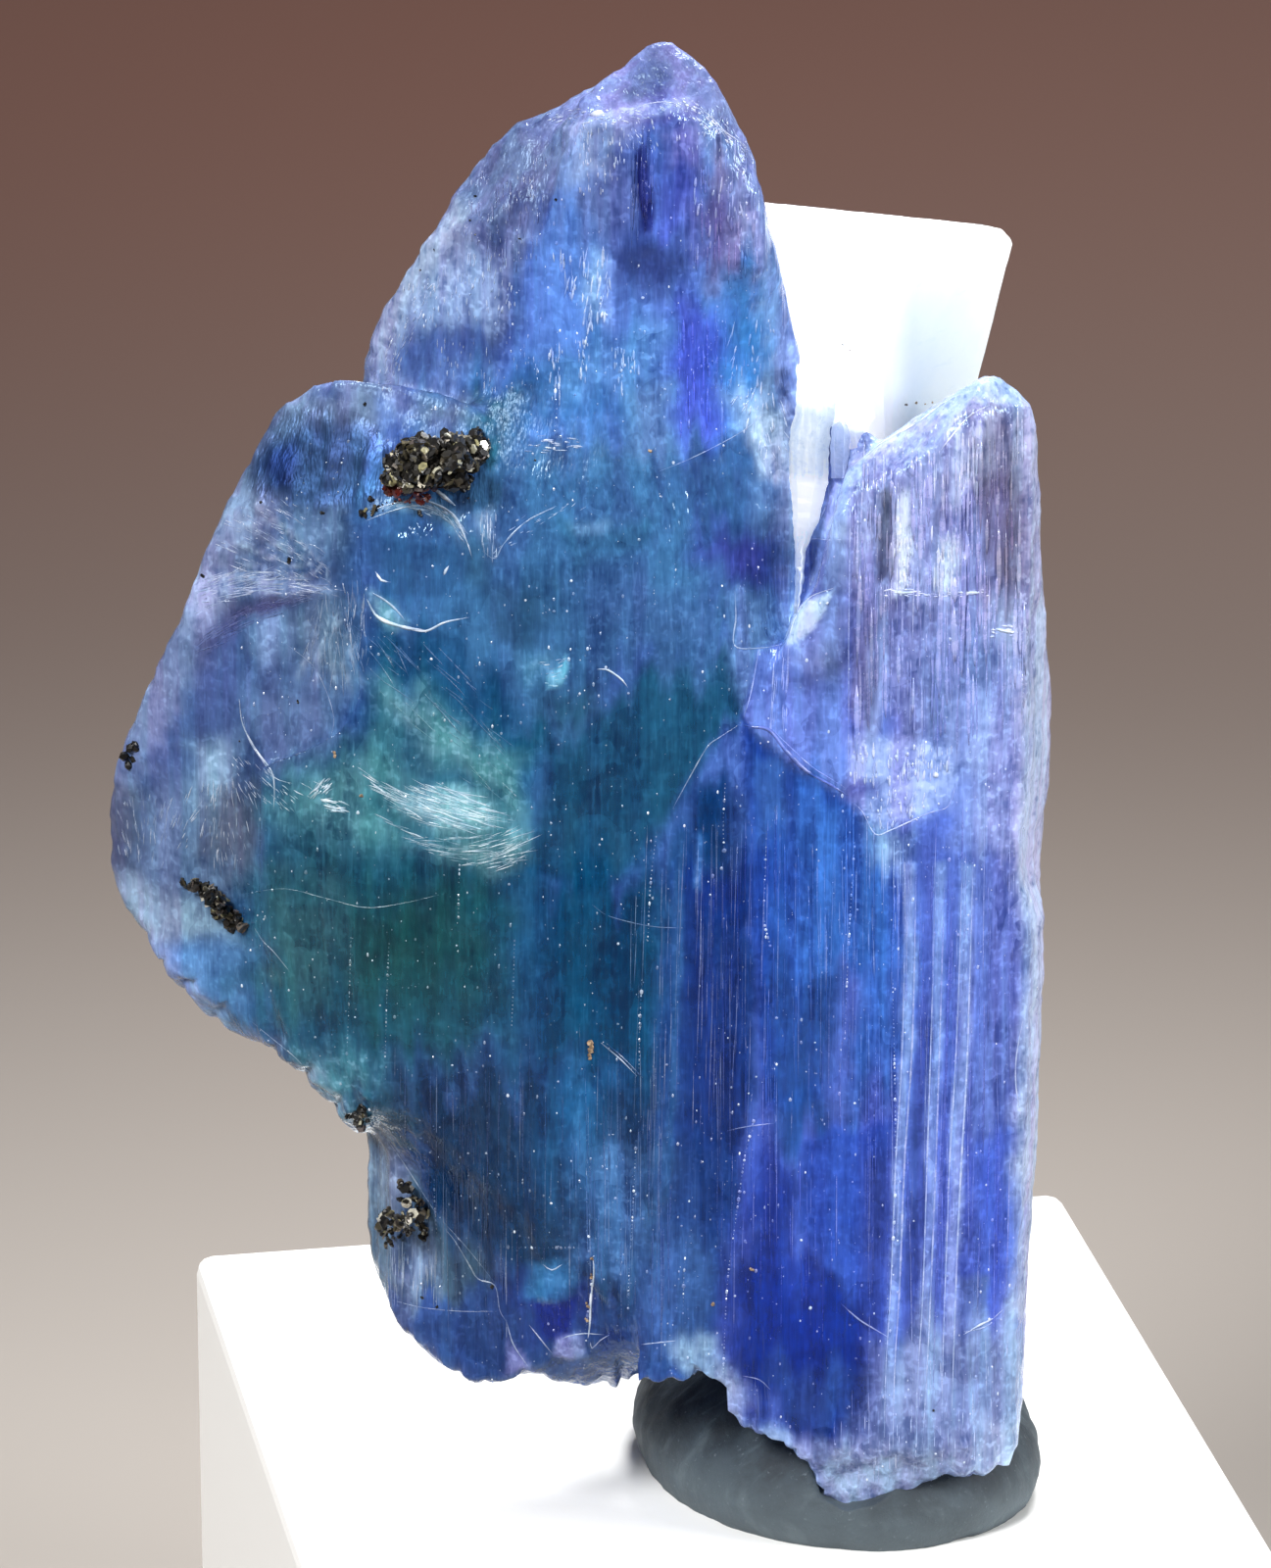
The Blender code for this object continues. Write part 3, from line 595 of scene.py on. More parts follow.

# %% Zones of the middle and the peak
# plate_eye is a painted cyan glint.
MIDDLE_ZONES = table_rows("""
  shoulder 84 104 160 10 0.35 0.5 0 612,60 545,110 490,140 450,182 415,248 360,325 350,392 440,402
    500,384 540,262 575,182 590,120;
  shoulder_blue 56 92 168 7 0.3 0.4 -0.03 546,130 572,140 574,196 550,192;
  shoulder_dusk 122 130 186 16 0.5 0.9 0 482,204 540,204 534,258 474,250;
  shoulder_top 76 88 146 9 0.2 0.4 -0.02 500,150 536,134 590,150 586,200 520,214 486,190;
  shoulder_frost 158 182 230 14 0.75 0.4 0.04 420,306 446,282 466,256 500,244 520,252 508,300 494,322
    462,324 440,340;
  shoulder_shade 80 106 176 14 0.3 0.5 -0.02 436,334 512,330 502,382 424,372;
  shoulder_mist 108 142 204 10 0.5 0.4 0 456,370 510,366 514,400 460,402;
  shoulder_rim 150 158 186 8 0.8 0.3 0 372,372 388,322 424,262 462,204 476,214 440,276 408,330 392,376;
  peak 104 144 234 14 0.4 0.7 0 592,118 765,130 800,230 815,292 820,345 815,440 520,456 515,330 545,258;
  peak_pale 98 112 178 18 0.45 0.8 0 588,136 616,124 648,134 644,182 634,232 606,258 580,214;
  peak_ink 26 36 120 4 0.1 0.9 -0.02 650,152 660,146 667,190 667,234 650,240 646,196;
  peak_violet 92 112 222 11 0.2 0.9 0 664,140 682,128 702,140 706,190 694,240 668,226;
  peak_brow 140 146 232 7 0.5 0.6 0 676,126 706,128 712,162 682,164;
  peak_shade 60 84 160 12 0.2 0.6 0 648,226 700,238 704,290 660,312 622,304 620,252;
  peak_dusk 112 102 174 16 0.25 1 0 716,140 748,146 770,190 776,262 744,292 716,272 706,214;
  peak_rose 170 152 218 12 0.7 0.5 0 746,224 774,238 768,276 738,288;
  peak_window 112 156 252 10 0.4 0.3 0.02 556,290 584,266 622,270 628,300 612,340 576,344 560,330;
  peak_glitter 156 194 252 9 0.8 0.3 0 590,300 606,262 620,270 616,330 596,334;
  peak_royal 88 108 242 15 0.2 0.7 0 690,330 712,314 742,332 750,384 738,440 712,452 698,410 700,368;
  peak_sea 62 128 206 16 0.3 0.5 0 738,276 792,248 820,345 815,440 744,442;
  cap 98 102 186 9 0.35 0.1 0 683,20 725,56 755,100 772,150 734,124 700,118 640,132 600,130 566,118
    600,70 655,30;
  cap_blue 48 60 150 6 0.2 0.1 0 627,92 650,72 672,52 684,58 682,80 664,96 640,104;
  cap_crest 128 140 206 3 0.8 0 0.02 573,130 600,119 659,105 701,99 704,110 660,121 604,133 577,142;
  saddle 60 116 190 18 0.4 0.5 0 440,396 600,340 682,352 684,450 500,452 436,430;
  saddle_mist 98 152 224 12 0.5 0.4 0 560,366 590,356 650,336 690,332 690,372 660,404 562,408;
  saddle_band 50 88 142 10 0.3 0.5 0 566,458 660,462 660,490 566,490;
  saddle_left 48 92 144 12 0.3 0.5 0 440,402 540,402 540,452 440,440;
  saddle_right 110 154 214 10 0.4 0.4 0 640,404 690,400 694,490 640,488;
  saddle_green 46 124 150 14 0.2 0.6 0 492,420 510,420 510,506 494,506;
  saddle_frost 146 174 222 12 0.9 0.4 0 744,400 772,392 806,416 810,488 780,488 758,444;
  plate 66 114 170 14 0.3 0.55 0 380,470 500,456 670,462 700,480 770,450 815,430 815,560 780,662 640,692
    560,744 430,640 371,600 372,520;
  plate_scoop 60 106 164 9 0.15 0.2 -0.04 386,532 430,518 468,526 482,590 450,618 400,612 380,578;
  plate_wedge 64 106 168 9 0.2 0.4 -0.01 670,484 727,457 782,421 815,430 812,560 770,610 722,562;
  plate_indigo 84 90 198 18 0.15 0.5 0 722,552 786,546 782,604 740,604;
  plate_lens 56 112 158 8 0.2 0.2 -0.005 571,529 664,527 660,559 587,571;
  plate_streak 112 164 208 5 0.5 0 0 585,534 617,530 612,540 590,543;
  plate_light 66 104 164 20 0.4 0.4 0 622,602 748,600 744,658 690,676 642,690;
  plate_pool 50 90 134 12 0.2 0.4 -0.01 500,606 560,610 562,668 500,672;
  plate_hem 44 90 128 10 0.2 0.4 0 556,704 600,698 598,730 560,738;
  plate_eye 116 190 222 3 0.9 0 0.02 556,690 572,680 577,668 580,682 572,698 560,701;
  plate_eye_tail 60 112 150 9 0.6 0.1 0 532,674 560,670 566,690 540,694;
  scoop_shell 112 164 186 5 0.85 0 0.03 372,602 384,614 400,618 416,634 404,642 384,630 374,618;
  scoop_hood 110 152 186 5 0.8 0 0.03 380,524 404,511 444,512 470,532 486,566 474,560 452,530 420,520;
  scoop_grey 112 140 178 6 0.7 0.5 0 486,528 504,524 508,566 494,572;
  scoop_side 56 96 140 8 0.2 0.3 0 470,540 510,560 508,600 476,606;
  plate_tab 120 158 224 4 0.7 0.2 0.03 750,600 757,600 760,656 750,660;
  wedge_light 106 144 206 8 0.5 0.3 0 748,606 800,606 798,690 758,726 744,666;
  notch_frost 196 212 246 6 0.85 0.4 0 768,424 808,418 812,492 782,492 768,460;
  notch_mist 106 142 202 9 0.5 0.4 0 768,496 808,496 808,548 772,548;
  seam 14 58 136 14 0.3 0.8 0 690,862 790,900 782,1140 740,1420 680,1410 676,1230;
  seam_ink 16 54 146 16 0.1 0.6 0 698,884 772,872 766,942 702,934;
  seam_top 10 66 130 9 0.15 0.6 0 704,800 744,788 752,850 744,886 706,880;
  seam_wine 26 54 138 22 0.15 0.8 0 700,962 746,972 746,1150 698,1140;
  seam_sky 58 96 168 20 0.35 0.5 0 690,1232 742,1284 728,1420 636,1420 648,1342;
  seam_end 146 172 212 8 0.6 0.3 0 684,1364 712,1356 738,1366 742,1412 732,1440 712,1420 690,1404;
  seam_line 38 84 148 3.5 0.4 0.8 0.01 690,850 700,850 696,967 691,1099 682,1226 675,1226 683,1099
    687,967;
  seam_line_short 60 112 184 4 0.6 0.8 0.01 710,850 718,850 717,908 710,908;
""")
print(len(MIDDLE_ZONES), "zones in the middle")

# %% Zones of the right blade
# seam_foot is painted light: it lightens a stretch of the foot that faces down into shade.
RIGHT_ZONES = table_rows("""
  blade 92 112 214 10 0.35 0.8 0 866,478 985,370 1060,380 1090,640 1085,900 1075,1240 1070,1500 960,1540
    860,1560 780,1500 728,1430 770,1130 780,900 866,850;
  blade_top 152 154 222 15 0.45 1 0 850,469 985,380 1060,380 1090,640 1085,716 1030,760 976,740 936,770
    850,752;
  blade_crown 214 216 248 10 0.9 0.8 0 972,430 1016,424 1020,490 974,494;
  blade_brown 72 62 112 4 0.1 0.8 -0.015 896,500 912,498 912,590 896,592;
  blade_slit 98 92 156 4 0.2 0.8 0 957,484 965,482 965,532 958,536;
  blade_slit_right 112 102 158 5 0.2 0.8 0 1002,468 1011,462 1013,560 1004,566;
  blade_dusk 108 106 160 14 0.3 1 0 872,602 934,610 916,704 872,722;
  blade_tan 126 112 152 15 0.3 1 0 1002,444 1026,424 1050,440 1054,560 1046,612 1028,622 1012,580;
  blade_frost 168 176 234 16 0.6 1 0 912,540 944,530 974,548 982,604 958,612 914,606;
  blade_pale 188 196 244 10 0.6 0.6 0 1008,612 1046,606 1048,690 1010,690;
  blade_glint_left 224 230 254 4 0.95 0.6 0 917,500 926,498 930,552 926,606 917,608 914,556;
  blade_glint_right 218 226 254 5 0.95 0.6 0 960,548 974,544 979,570 972,600 960,598;
  flap 118 140 232 3 0.4 0.5 0.03 820,562 868,480 868,812 817,791 782,753 758,734 775,660 806,656;
  flap_grey 96 112 188 12 0.3 0.4 0 830,640 866,612 866,702 822,692;
  flap_top 160 176 238 3 0.5 0.2 0 846,494 868,480 868,550 826,551;
  flap_pane 104 122 204 3 0.3 0.2 -0.01 826,552 866,551 866,603 846,602 826,611;
  flap_chip 198 214 248 2.2 0.95 0 0.03 852,600 826,610 811,632 803,657 812,654 828,639 842,619;
  blade_middle 140 154 222 22 0.5 0.7 0 900,640 1052,640 1052,760 900,760;
  pool 34 76 182 5 0.2 0.8 -0.03 758,737 782,753 798,772 817,791 861,807 893,852 872,1100 780,1130
    768,900;
  pool_right 62 116 214 20 0.3 0.9 0 806,866 822,812 862,818 924,866 922,1130 806,1130;
  pool_deep 44 84 168 12 0.15 0.8 0 796,1000 868,1010 868,1142 796,1142;
  pool_top 66 108 196 9 0.2 0.6 0 770,770 800,780 812,850 770,860;
  pool_rose 92 104 200 12 0.4 0.5 0 860,1000 876,1000 870,1250 856,1250;
  blade_right 106 122 208 18 0.45 0.8 0 984,806 1050,700 1052,1000 1042,1330 986,1330;
  blade_lilac 162 174 240 14 0.6 0.5 0 982,744 1050,700 1050,868 990,858;
  blade_patch 164 198 250 10 0.6 0.7 0 888,852 932,850 926,892 892,890;
  royal 4 44 156 18 0.1 0.7 0 742,1290 800,1262 860,1270 906,1300 902,1400 896,1480 856,1496 800,1456
    738,1404;
  royal_upper 36 66 180 16 0.15 0.7 0 790,1150 816,1164 820,1250 850,1312 790,1312 754,1240;
  royal_pane 54 88 202 5 0.3 0.5 0.02 819,1168 853,1146 880,1150 912,1150 905,1362 865,1324 845,1298
    819,1248;
  blade_low 56 78 172 7 0.2 0.7 0 886,1190 911,1180 905,1330 898,1384 884,1350;
  royal_right 76 102 222 20 0.3 0.6 0 984,1160 1036,1160 1036,1330 984,1350;
  royal_foot 46 80 172 12 0.2 0.6 0 790,1400 880,1400 880,1468 822,1468;
  lane_right 92 112 186 4 0.3 0.6 0 976,1300 1010,1300 1008,1372 974,1372;
  lane 70 92 186 3 0.2 0.6 0 937,1040 953,1040 938,1400 922,1400;
  stripe_one 136 158 228 3.5 0.6 0.3 0.015 925,880 936,880 932,1061 924,1187 919,1313 914,1398 912,1490
    902,1490 904,1398 909,1313 914,1187 921,1061;
  stripe_two 130 152 226 3.5 0.6 0.3 0.015 955,880 965,880 960,1061 956,1187 951,1313 947,1398 942,1490
    933,1490 937,1398 942,1313 946,1187 950,1061;
  stripe_three 140 162 232 3.5 0.6 0.3 0.015 981,880 994,880 990,1018 987,1103 982,1187 978,1271
    975,1355 972,1460 960,1460 963,1355 966,1271 969,1187 974,1103 978,1018;
  foot 154 172 226 16 0.4 0.7 0 824,1526 850,1502 888,1484 902,1420 914,1368 960,1354 1018,1342
    1070,1344 1060,1500 962,1530 862,1560;
  foot_toe 168 188 238 7 0.6 0.4 0 842,1504 900,1496 916,1528 862,1550 840,1538;
  foot_rim 140 166 224 7 0.9 0.2 0 712,1393 742,1404 760,1444 800,1460 838,1506 796,1490 730,1460;
  seam_foot 150 178 222 7 0.5 0.2 0 702,1384 734,1384 750,1420 742,1450 718,1444 702,1410;
  foot_pool 138 158 214 9 0.4 0.6 0 970,1370 1018,1366 1014,1440 972,1442;
  foot_tip 180 198 240 9 0.6 0.4 0 1006,1446 1044,1440 1042,1504 1002,1510;
  blade_rim 194 198 230 9 0.95 0.2 0 1046,420 1090,420 1090,1340 1040,1340 1040,1100 1044,800;
  blade_bevel 176 190 234 7 0.95 0 0.02 866,484 866,468 985,372 1060,372 1064,440 1040,426 1010,404
    985,416 940,444;
  chip 152 168 234 7 0.95 0.3 -0.02 866,770 880,758 906,764 930,753 950,762 972,765 979,795 967,823
    897,852 869,818;
  chip_shade 94 106 194 7 0.3 0 -0.02 868,802 904,802 902,815 871,818;
""")
print(len(RIGHT_ZONES), "zones on the right")

# %% [markdown]
# A zone's mask is soft at its outline, and the outline wanders a little, by a slow noise, because
# nothing in a crystal that broke and healed is ruled. The same mask tints the points, sets their
# haze and streaks, and lifts or sinks the layer.

# %% Paint the zones
GROUND = ((70, 104, 186), 0.4, 0.6)


def noise_field(points, scale, shift):
    """A smooth noise between about minus one and one at each point."""
    moved = points * scale + shift
    return np.array([noise.noise(Vector(spot)) for spot in moved.tolist()])


def line_distance(columns, rows, line):
    """Distance in pixels from each point to the nearest stretch of a line."""
    best = np.full(len(columns), np.inf)
    for (x0, y0), (x1, y1) in zip(line, line[1:]):
        along = (columns - x0) * (x1 - x0) + (rows - y0) * (y1 - y0)
        along = np.clip(along / ((x1 - x0) ** 2 + (y1 - y0) ** 2), 0, 1)
        here = np.hypot(columns - x0 - along * (x1 - x0), rows - y0 - along * (y1 - y0))
        best = np.minimum(best, here)
    return best


def within(columns, rows, outline):
    """True for the points inside a closed outline."""
    odd = np.zeros(len(columns), dtype=bool)
    for (x0, y0), (x1, y1) in zip(outline, outline[1:] + outline[:1]):
        if y0 != y1:
            crossed = (y0 > rows) != (y1 > rows)
            odd ^= crossed & (columns < x0 + (rows - y0) / (y1 - y0) * (x1 - x0))
    return odd


def zone_mask(columns, rows, outline, soft):
    """One inside an outline and nought outside, soft over some pixels on either side of it."""
    away = line_distance(columns, rows, outline + outline[:1])
    return ease(np.where(within(columns, rows, outline), away, -away), -soft, soft)


points = points_of(crystal.data)
columns, rows = pixels_of(points)
slow = noise_field(points, 0.9, 3.1)
middling = noise_field(points, 2.6, 17.7)
quick = noise_field(points, 7.0, 41.3)
comb = noise_field(points * (1, 1, 0.07), 4.5, 63.9)
comb += 0.6 * noise_field(points * (1, 1, 0.05), 9.0, 85.2)
tint = np.tile(light_of(*GROUND[0]), (len(points), 1))
haze = np.full(len(points), GROUND[1])
streaks = np.full(len(points), GROUND[2])
lift = np.zeros(len(points))
ZONES = LEFT_ZONES + MIDDLE_ZONES + RIGHT_ZONES
for (*colour, soft, zone_haze, zone_streaks, height), outline in ZONES:
    wander = min(soft, 14) * 1.1
    ragged = min(soft, 14) ** 1.5 * 1.3 * comb * zone_streaks
    across = columns + wander * (slow + middling)
    along = rows + wander * (slow - middling) + ragged
    mask = zone_mask(across, along, outline, soft * (1.0 if soft < 5 else 1.7))
    tint += mask[:, None] * (light_of(*colour) - tint)
    haze += mask * (zone_haze - haze)
    streaks += mask * (zone_streaks - streaks)
    lift += mask * height
lift += (1 - streaks) * (0.016 * middling + 0.009 * quick)
print("tint from", tint.min(0).round(3), "to", tint.max(0).round(3))

# %% [markdown]
# ## Scalloped edges
#
# Along its broken lower edges the crystal ends in a row of slim rounded columns, so the outline
# is scalloped. Each stretch of the outline is a line of the photograph. The nearest points are
# brought to it, from either side, and cusps at a wavering pitch push them inwards between the
# columns. Points further in follow less and less.

# %% Scalloped edges
# Pitch and depth of the cusps in pixels, how far in the points follow, how deep behind the front
# in mm, and the line, which has the crystal on its left hand as it is walked
SCALLOPED_EDGES = table_rows("""
  33 3 44 3 658,50 605,87 562,112 533,121 506,142 476,180 462,202 447,230 424,260 407,290 388,320
    376,350 368,382;
  41 2.5 60 3 292,404 271,440 239,500 210,560 188,620 160,680 134,740 122,770 115,800 112,835 113,890
    124,922 146,952;
  44 9 40 3 146,952 158,980 186,1012 214,1040 256,1062 290,1082 322,1112 345,1140 366,1162;
  31 5 24 1 440,1388 492,1415 545,1402 590,1416 622,1412;
  25 10 50 1 630,1410 660,1410 700,1409 724,1404 734,1400;
  17 6 24 1 736,1442 770,1462 802,1474 826,1498 840,1530;
  27 4 30 1 846,1540 862,1546 895,1540 930,1520 962,1507 1000,1508 1036,1492;
  90 2 50 3 1049,1290 1054,1230 1059,1160 1062,1080 1065,1000 1066,930 1060,880 1068,820 1073,760
    1072,700 1067,640 1063,580 1062,500 1058,440 1051,405;
""")
OUTSIDE_REACH = 60.0
FURTHEST_OUT = 14.0
GAP_STEP_PX = 6.0


def along_line(columns, rows, line):
    """How far along a line each point lies, and how far inside it, in pixels."""
    best = np.full(len(columns), np.inf)
    travel, inward = np.zeros(len(columns)), np.zeros(len(columns))
    passed = 0.0
    for (x0, y0), (x1, y1) in zip(line, line[1:]):
        length = math.hypot(x1 - x0, y1 - y0)
        part = ((columns - x0) * (x1 - x0) + (rows - y0) * (y1 - y0)) / length
        held = np.clip(part, 0, length)
        side = ((columns - x0) * (y1 - y0) - (rows - y0) * (x1 - x0)) / length
        here = np.hypot(side, part - held)
        nearer = here < best
        best[nearer], travel[nearer], inward[nearer] = here[nearer], passed + part[nearer], side[nearer]
        passed += length
    return travel, inward, passed


def gap_to_line(travel, inward, taken, length):
    """How far inside the line the outermost points are, for each point's place along it."""
    stops = np.arange(0.0, length, GAP_STEP_PX)
    gaps = []
    for stop in stops:
        here = inward[taken & (np.abs(travel - stop) < GAP_STEP_PX)]
        gaps.append(here.min() if len(here) else 0.0)
    return np.interp(travel, stops, gaps)


for (pitch, depth, reach, deepest), line in SCALLOPED_EDGES:
    columns, rows = pixels_of(points)
    travel, inward, length = along_line(columns, rows, line)
    taken = (np.abs(inward) < OUTSIDE_REACH) & (points[:, 1] < deepest)
    gap = gap_to_line(travel, inward, taken, length)
    near = ease(travel, -2, 6) * (1 - ease(travel, length - 6, length + 2)) * taken
    near *= 1 - ease(inward - gap, 0.0, reach)
    cusp = 1 - np.abs(np.sin(math.pi * (travel / pitch + 0.5 * slow + 0.35 * middling))) ** 0.6
    push = near * (depth * cusp - np.minimum(gap, FURTHEST_OUT)) * MM_PER_PX
    across, down = np.array(line[-1]) - np.array(line[0])
    span = math.hypot(across, down)
    points[:, 0] += push * down / span
    points[:, 2] += push * across / span / COS_TILT
columns, rows = pixels_of(points)
print(len(SCALLOPED_EDGES), "edges scalloped")

# %% [markdown]
# ## Fans of fracture
#
# Where the crystal was struck, the break runs out in a fan of fine ridges, like the rays of a
# shell. A fan has a centre, two angles and a reach. Its ridges follow the angle round the centre,
# a little unevenly, and they catch the light: their crests are hazier, and painted paler, a
# painted highlight.

# %% Carve the fans
# Centre, angles in degrees (from the right, upwards), reach in pixels, rays, depth in mm,
# strength of the painted highlight
FANS = [
    ((352, 600), (128, 186), (20, 170), 6, 0.04, 0.3),
    ((342, 610), (238, 292), (14, 105), 5, 0.03, 0.25),
]
# The pale blue-white of the painted highlight on the crests of the fans
RAY_HIGHLIGHT = light_of(214, 224, 246)
front = 1 - ease(points[:, 1], FRONT_DEPTH - 0.2, FRONT_DEPTH + 0.3)
for centre, angles, reach, rays, depth, pale in FANS:
    across, up = columns - centre[0], centre[1] - rows
    radius = np.hypot(across, up)
    middle, half = math.radians(sum(angles) / 2), math.radians(angles[1] - angles[0]) / 2
    angle = np.arctan2(up, across) - middle
    angle = (angle + math.pi) % (2 * math.pi) - math.pi
    spread = (1 - ease(np.abs(angle) + 0.12 * slow, half * 0.7, half * 1.1)) * front
    spread *= ease(radius, reach[0] * 0.5, reach[0] * 1.5)
    spread *= 1 - ease(radius + 14 * middling, reach[1] * 0.6, reach[1])
    phase = angle / half * rays * math.pi + 3.0 * slow + 1.5 * middling
    ridge = 1 - np.abs(np.sin(phase / 2))
    lift += spread * depth * (ridge - 0.5)
    # The crests get a painted highlight and more haze
    crest = np.clip(pale * spread * (ridge ** 2 * 1.3 + 0.25 * quick), 0, 1)
    tint += crest[:, None] * (RAY_HIGHLIGHT - tint)
    haze += crest * (1 - haze)
print("relief from", lift.min().round(3), "to", lift.max().round(3), "mm")

# %% [markdown]
# ## Thin edges are pale
#
# Where the crystal is thin, at its rim, there is little of it to colour the light, and the broken
# edge scatters it: the rim is pale lilac or nearly white. That paleness is partly the frosted
# edge's own colour and partly painted light, the light from behind that comes through the thin
# edge. The distance to the outline gives it, and a noise makes it uneven.

# %% Pale rims
# Patches that must not shine, and whose upward slopes get painted shade: how matt, middle,
# half width and half height in pixels
MATT_PATCHES = table_rows("""
  0.6 560,420 260,70; 1 320,470 100,70; 0.6 530,190 80,70; 0.5 690,70 70,50; 0.6 130,850 50,120;
""")
RIM_COLOUR = light_of(196, 204, 238)
RIM_WIDTH = 0.32
EDGE_ROUGHNESS = 0.014
rim = rim_distance(points, directions_of(crystal.data))
edge = (1 - ease(rim + 0.12 * middling + 0.08 * quick, 0.02, RIM_WIDTH)) * (0.62 + 0.3 * slow)
edge = np.clip(edge, 0, 1) * 0.5
edge *= 1 - 0.75 * ease(rows, 1200, 1260) * (1 - ease(columns, 690, 720))
matt = np.zeros(len(points))
for [strength], [(column, row), (wide, high)] in MATT_PATCHES:
    away = np.hypot((columns - column) / wide, (rows - row) / high)
    matt = np.maximum(matt, strength * (1 - ease(away, 0.5, 1.3)))
edge *= 1 - matt ** 2
# The pale rim: partly the frosted edge's own colour, partly painted light from behind
tint += edge[:, None] * (RIM_COLOUR - tint)
haze += edge * 0.8 * (1 - haze)
normals = directions_of(crystal.data)
rough = EDGE_ROUGHNESS * (1 - ease(rim, 0.1, 0.5)) * (middling + quick)
move_points(crystal.data, points + normals * (lift * front + rough)[:, None])


def keep_attribute(mesh, name, values):
    """Stores three numbers for each point, for the material to read."""
    attribute = mesh.attributes.new(name, "FLOAT_COLOR", "POINT")
    full = np.ones((len(values), 4))
    full[:, :3] = values
    attribute.data.foreach_set("color", full.ravel())


# Painted shade: in the matt patches the front points that face upwards are tinted darker, to take off
# the light that these slopes catch from above.
tint *= (1 - 0.55 * matt * np.clip(normals[:, 2], 0, 0.8) * front)[:, None]
keep_attribute(crystal.data, "tint", np.clip(tint, 0, 1))
keep_attribute(crystal.data, "finish", np.clip(np.stack((haze, streaks, matt), 1), 0, 1))
print("rim reaches", int((edge > 0.3).sum()), "of", len(points), "points")

# %% [markdown]
# ## Growth lines
#
# The long faces of tanzanite are ruled with growth lines that run up the crystal. They follow a
# rule, so Geometry Nodes make them: a noise that is stretched far along z, turned into flat bands
# with quick slopes between, moves each point along its normal. The points' own streak value
# decides how deep the lines are, so they fade out over the shells of fracture.

# %% Growth lines as a node tree
GROWTH_INPUTS = {"Lines per mm": 3.4, "Stretch": 0.035, "Depth": 0.000055, "Seed": 17.0}


def start_tree(name, inputs):
    """A geometry tree with named inputs, given as pairs of a name and a kind of socket."""
    tree = bpy.data.node_groups.new(name, "GeometryNodeTree")
    tree.is_modifier = True
    for socket, kind in (("Geometry", "Geometry"), *inputs):
        tree.interface.new_socket(socket, in_out="INPUT", socket_type="NodeSocket" + kind)
    tree.interface.new_socket("Geometry", in_out="OUTPUT", socket_type="NodeSocketGeometry")
    graph = Graph(tree)
    given = graph.node("NodeGroupInput").socket.node.outputs
    return tree, graph, {socket.name: Value(graph, socket) for socket in given if socket.name}


def growth_tree():
    """Moves each point along its normal, by a noise stretched along the crystal."""
    tree, graph, inputs = start_tree("growth_lines", [(name, "Float") for name in GROWTH_INPUTS])
    position = graph.scaled(graph.node("GeometryNodeInputPosition"), (1 / MM,) * 3)
    lines = inputs["Lines per mm"]
    sockets = {0: lines, 1: lines, 2: lines * inputs["Stretch"]}
    factors = graph.node("ShaderNodeCombineXYZ", None, sockets)
    sockets = {"Vector": graph.scaled(position, factors), "W": inputs["Seed"], "Scale": 1.0}
    grain = graph.node("ShaderNodeTexNoise", {"noise_dimensions": "4D"}, sockets)
    bands = graph.smooth(grain, 0.4, 0.6) * 0.7 + grain * 0.6
    finish = graph.node("GeometryNodeInputNamedAttribute", {"data_type": "FLOAT_COLOR"}, {0: "finish"})
    height = (bands - 0.65) * inputs["Depth"] * graph.parts(finish)[1]
    offset = graph.vector("SCALE", {0: graph.node("GeometryNodeInputNormal"), "Scale": height})
    sockets = {"Geometry": inputs["Geometry"], "Offset": offset}
    moved = graph.node("GeometryNodeSetPosition", None, sockets)
    real = graph.node("GeometryNodeRealizeInstances", None, {"Geometry": moved})
    graph.node("NodeGroupOutput", None, {"Geometry": real})
    return tree


def run_tree(piece, tree, settings):
    """Adds the tree as a modifier, sets its inputs by their identifiers and bakes it in."""
    modifier = piece.modifiers.new(tree.name, "NODES")
    modifier.node_group = tree
    for item in tree.interface.items_tree:
        if item.in_out == "INPUT" and item.name in settings:
            modifier[item.identifier] = settings[item.name]
    return take_modifiers(piece)


before = points_of(crystal.data)
run_tree(crystal, growth_tree(), GROWTH_INPUTS)
moved = np.abs(points_of(crystal.data) - before).max(1)
print("growth lines move points by up to", moved.max().round(3), "mm")

# %% [markdown]
# ## Tanzanite
#
# The finish is a mixture of two shaders. One is clear: full transmission at tanzanite's refractive
# index of 1.69, with a plain absorption inside. The other is hazy. Both hold the tint, and the
# points' haze says how much of each there is. Noises that are stretched far along the crystal draw
# streaks finer than the mesh can carry, dark and light, and rounder ones give clouds, panes and
# grit. Bump from the finest of them breaks the gloss into vertical threads. The third number of
# the finish makes some patches matt.

# %% Tanzanite material
TANZANITE_IOR = 1.69
MILK = (190, 208, 244)
SKY_TINT = (0.6, 0.82, 1.0, 1.0)
INNER_TINT = (0.5, 0.66, 0.96, 1.0)


def broken_panes(graph, point, scale):
    """A random grey for each irregular patch of the crystal, taller than it is wide."""
    wobble = graph.noise(point, scale * 0.9, detail=1.0, out=1)
    sockets = {0: wobble, 1: (0.9 / scale,) * 3, 2: graph.scaled(point, (1.0, 1.0, 0.5))}
    bent = graph.vector("MULTIPLY_ADD", sockets)
    cells = graph.node("ShaderNodeTexVoronoi", None, {"Vector": bent, "Scale": scale}, out=1)
    return graph.parts(cells, "Color")[0]


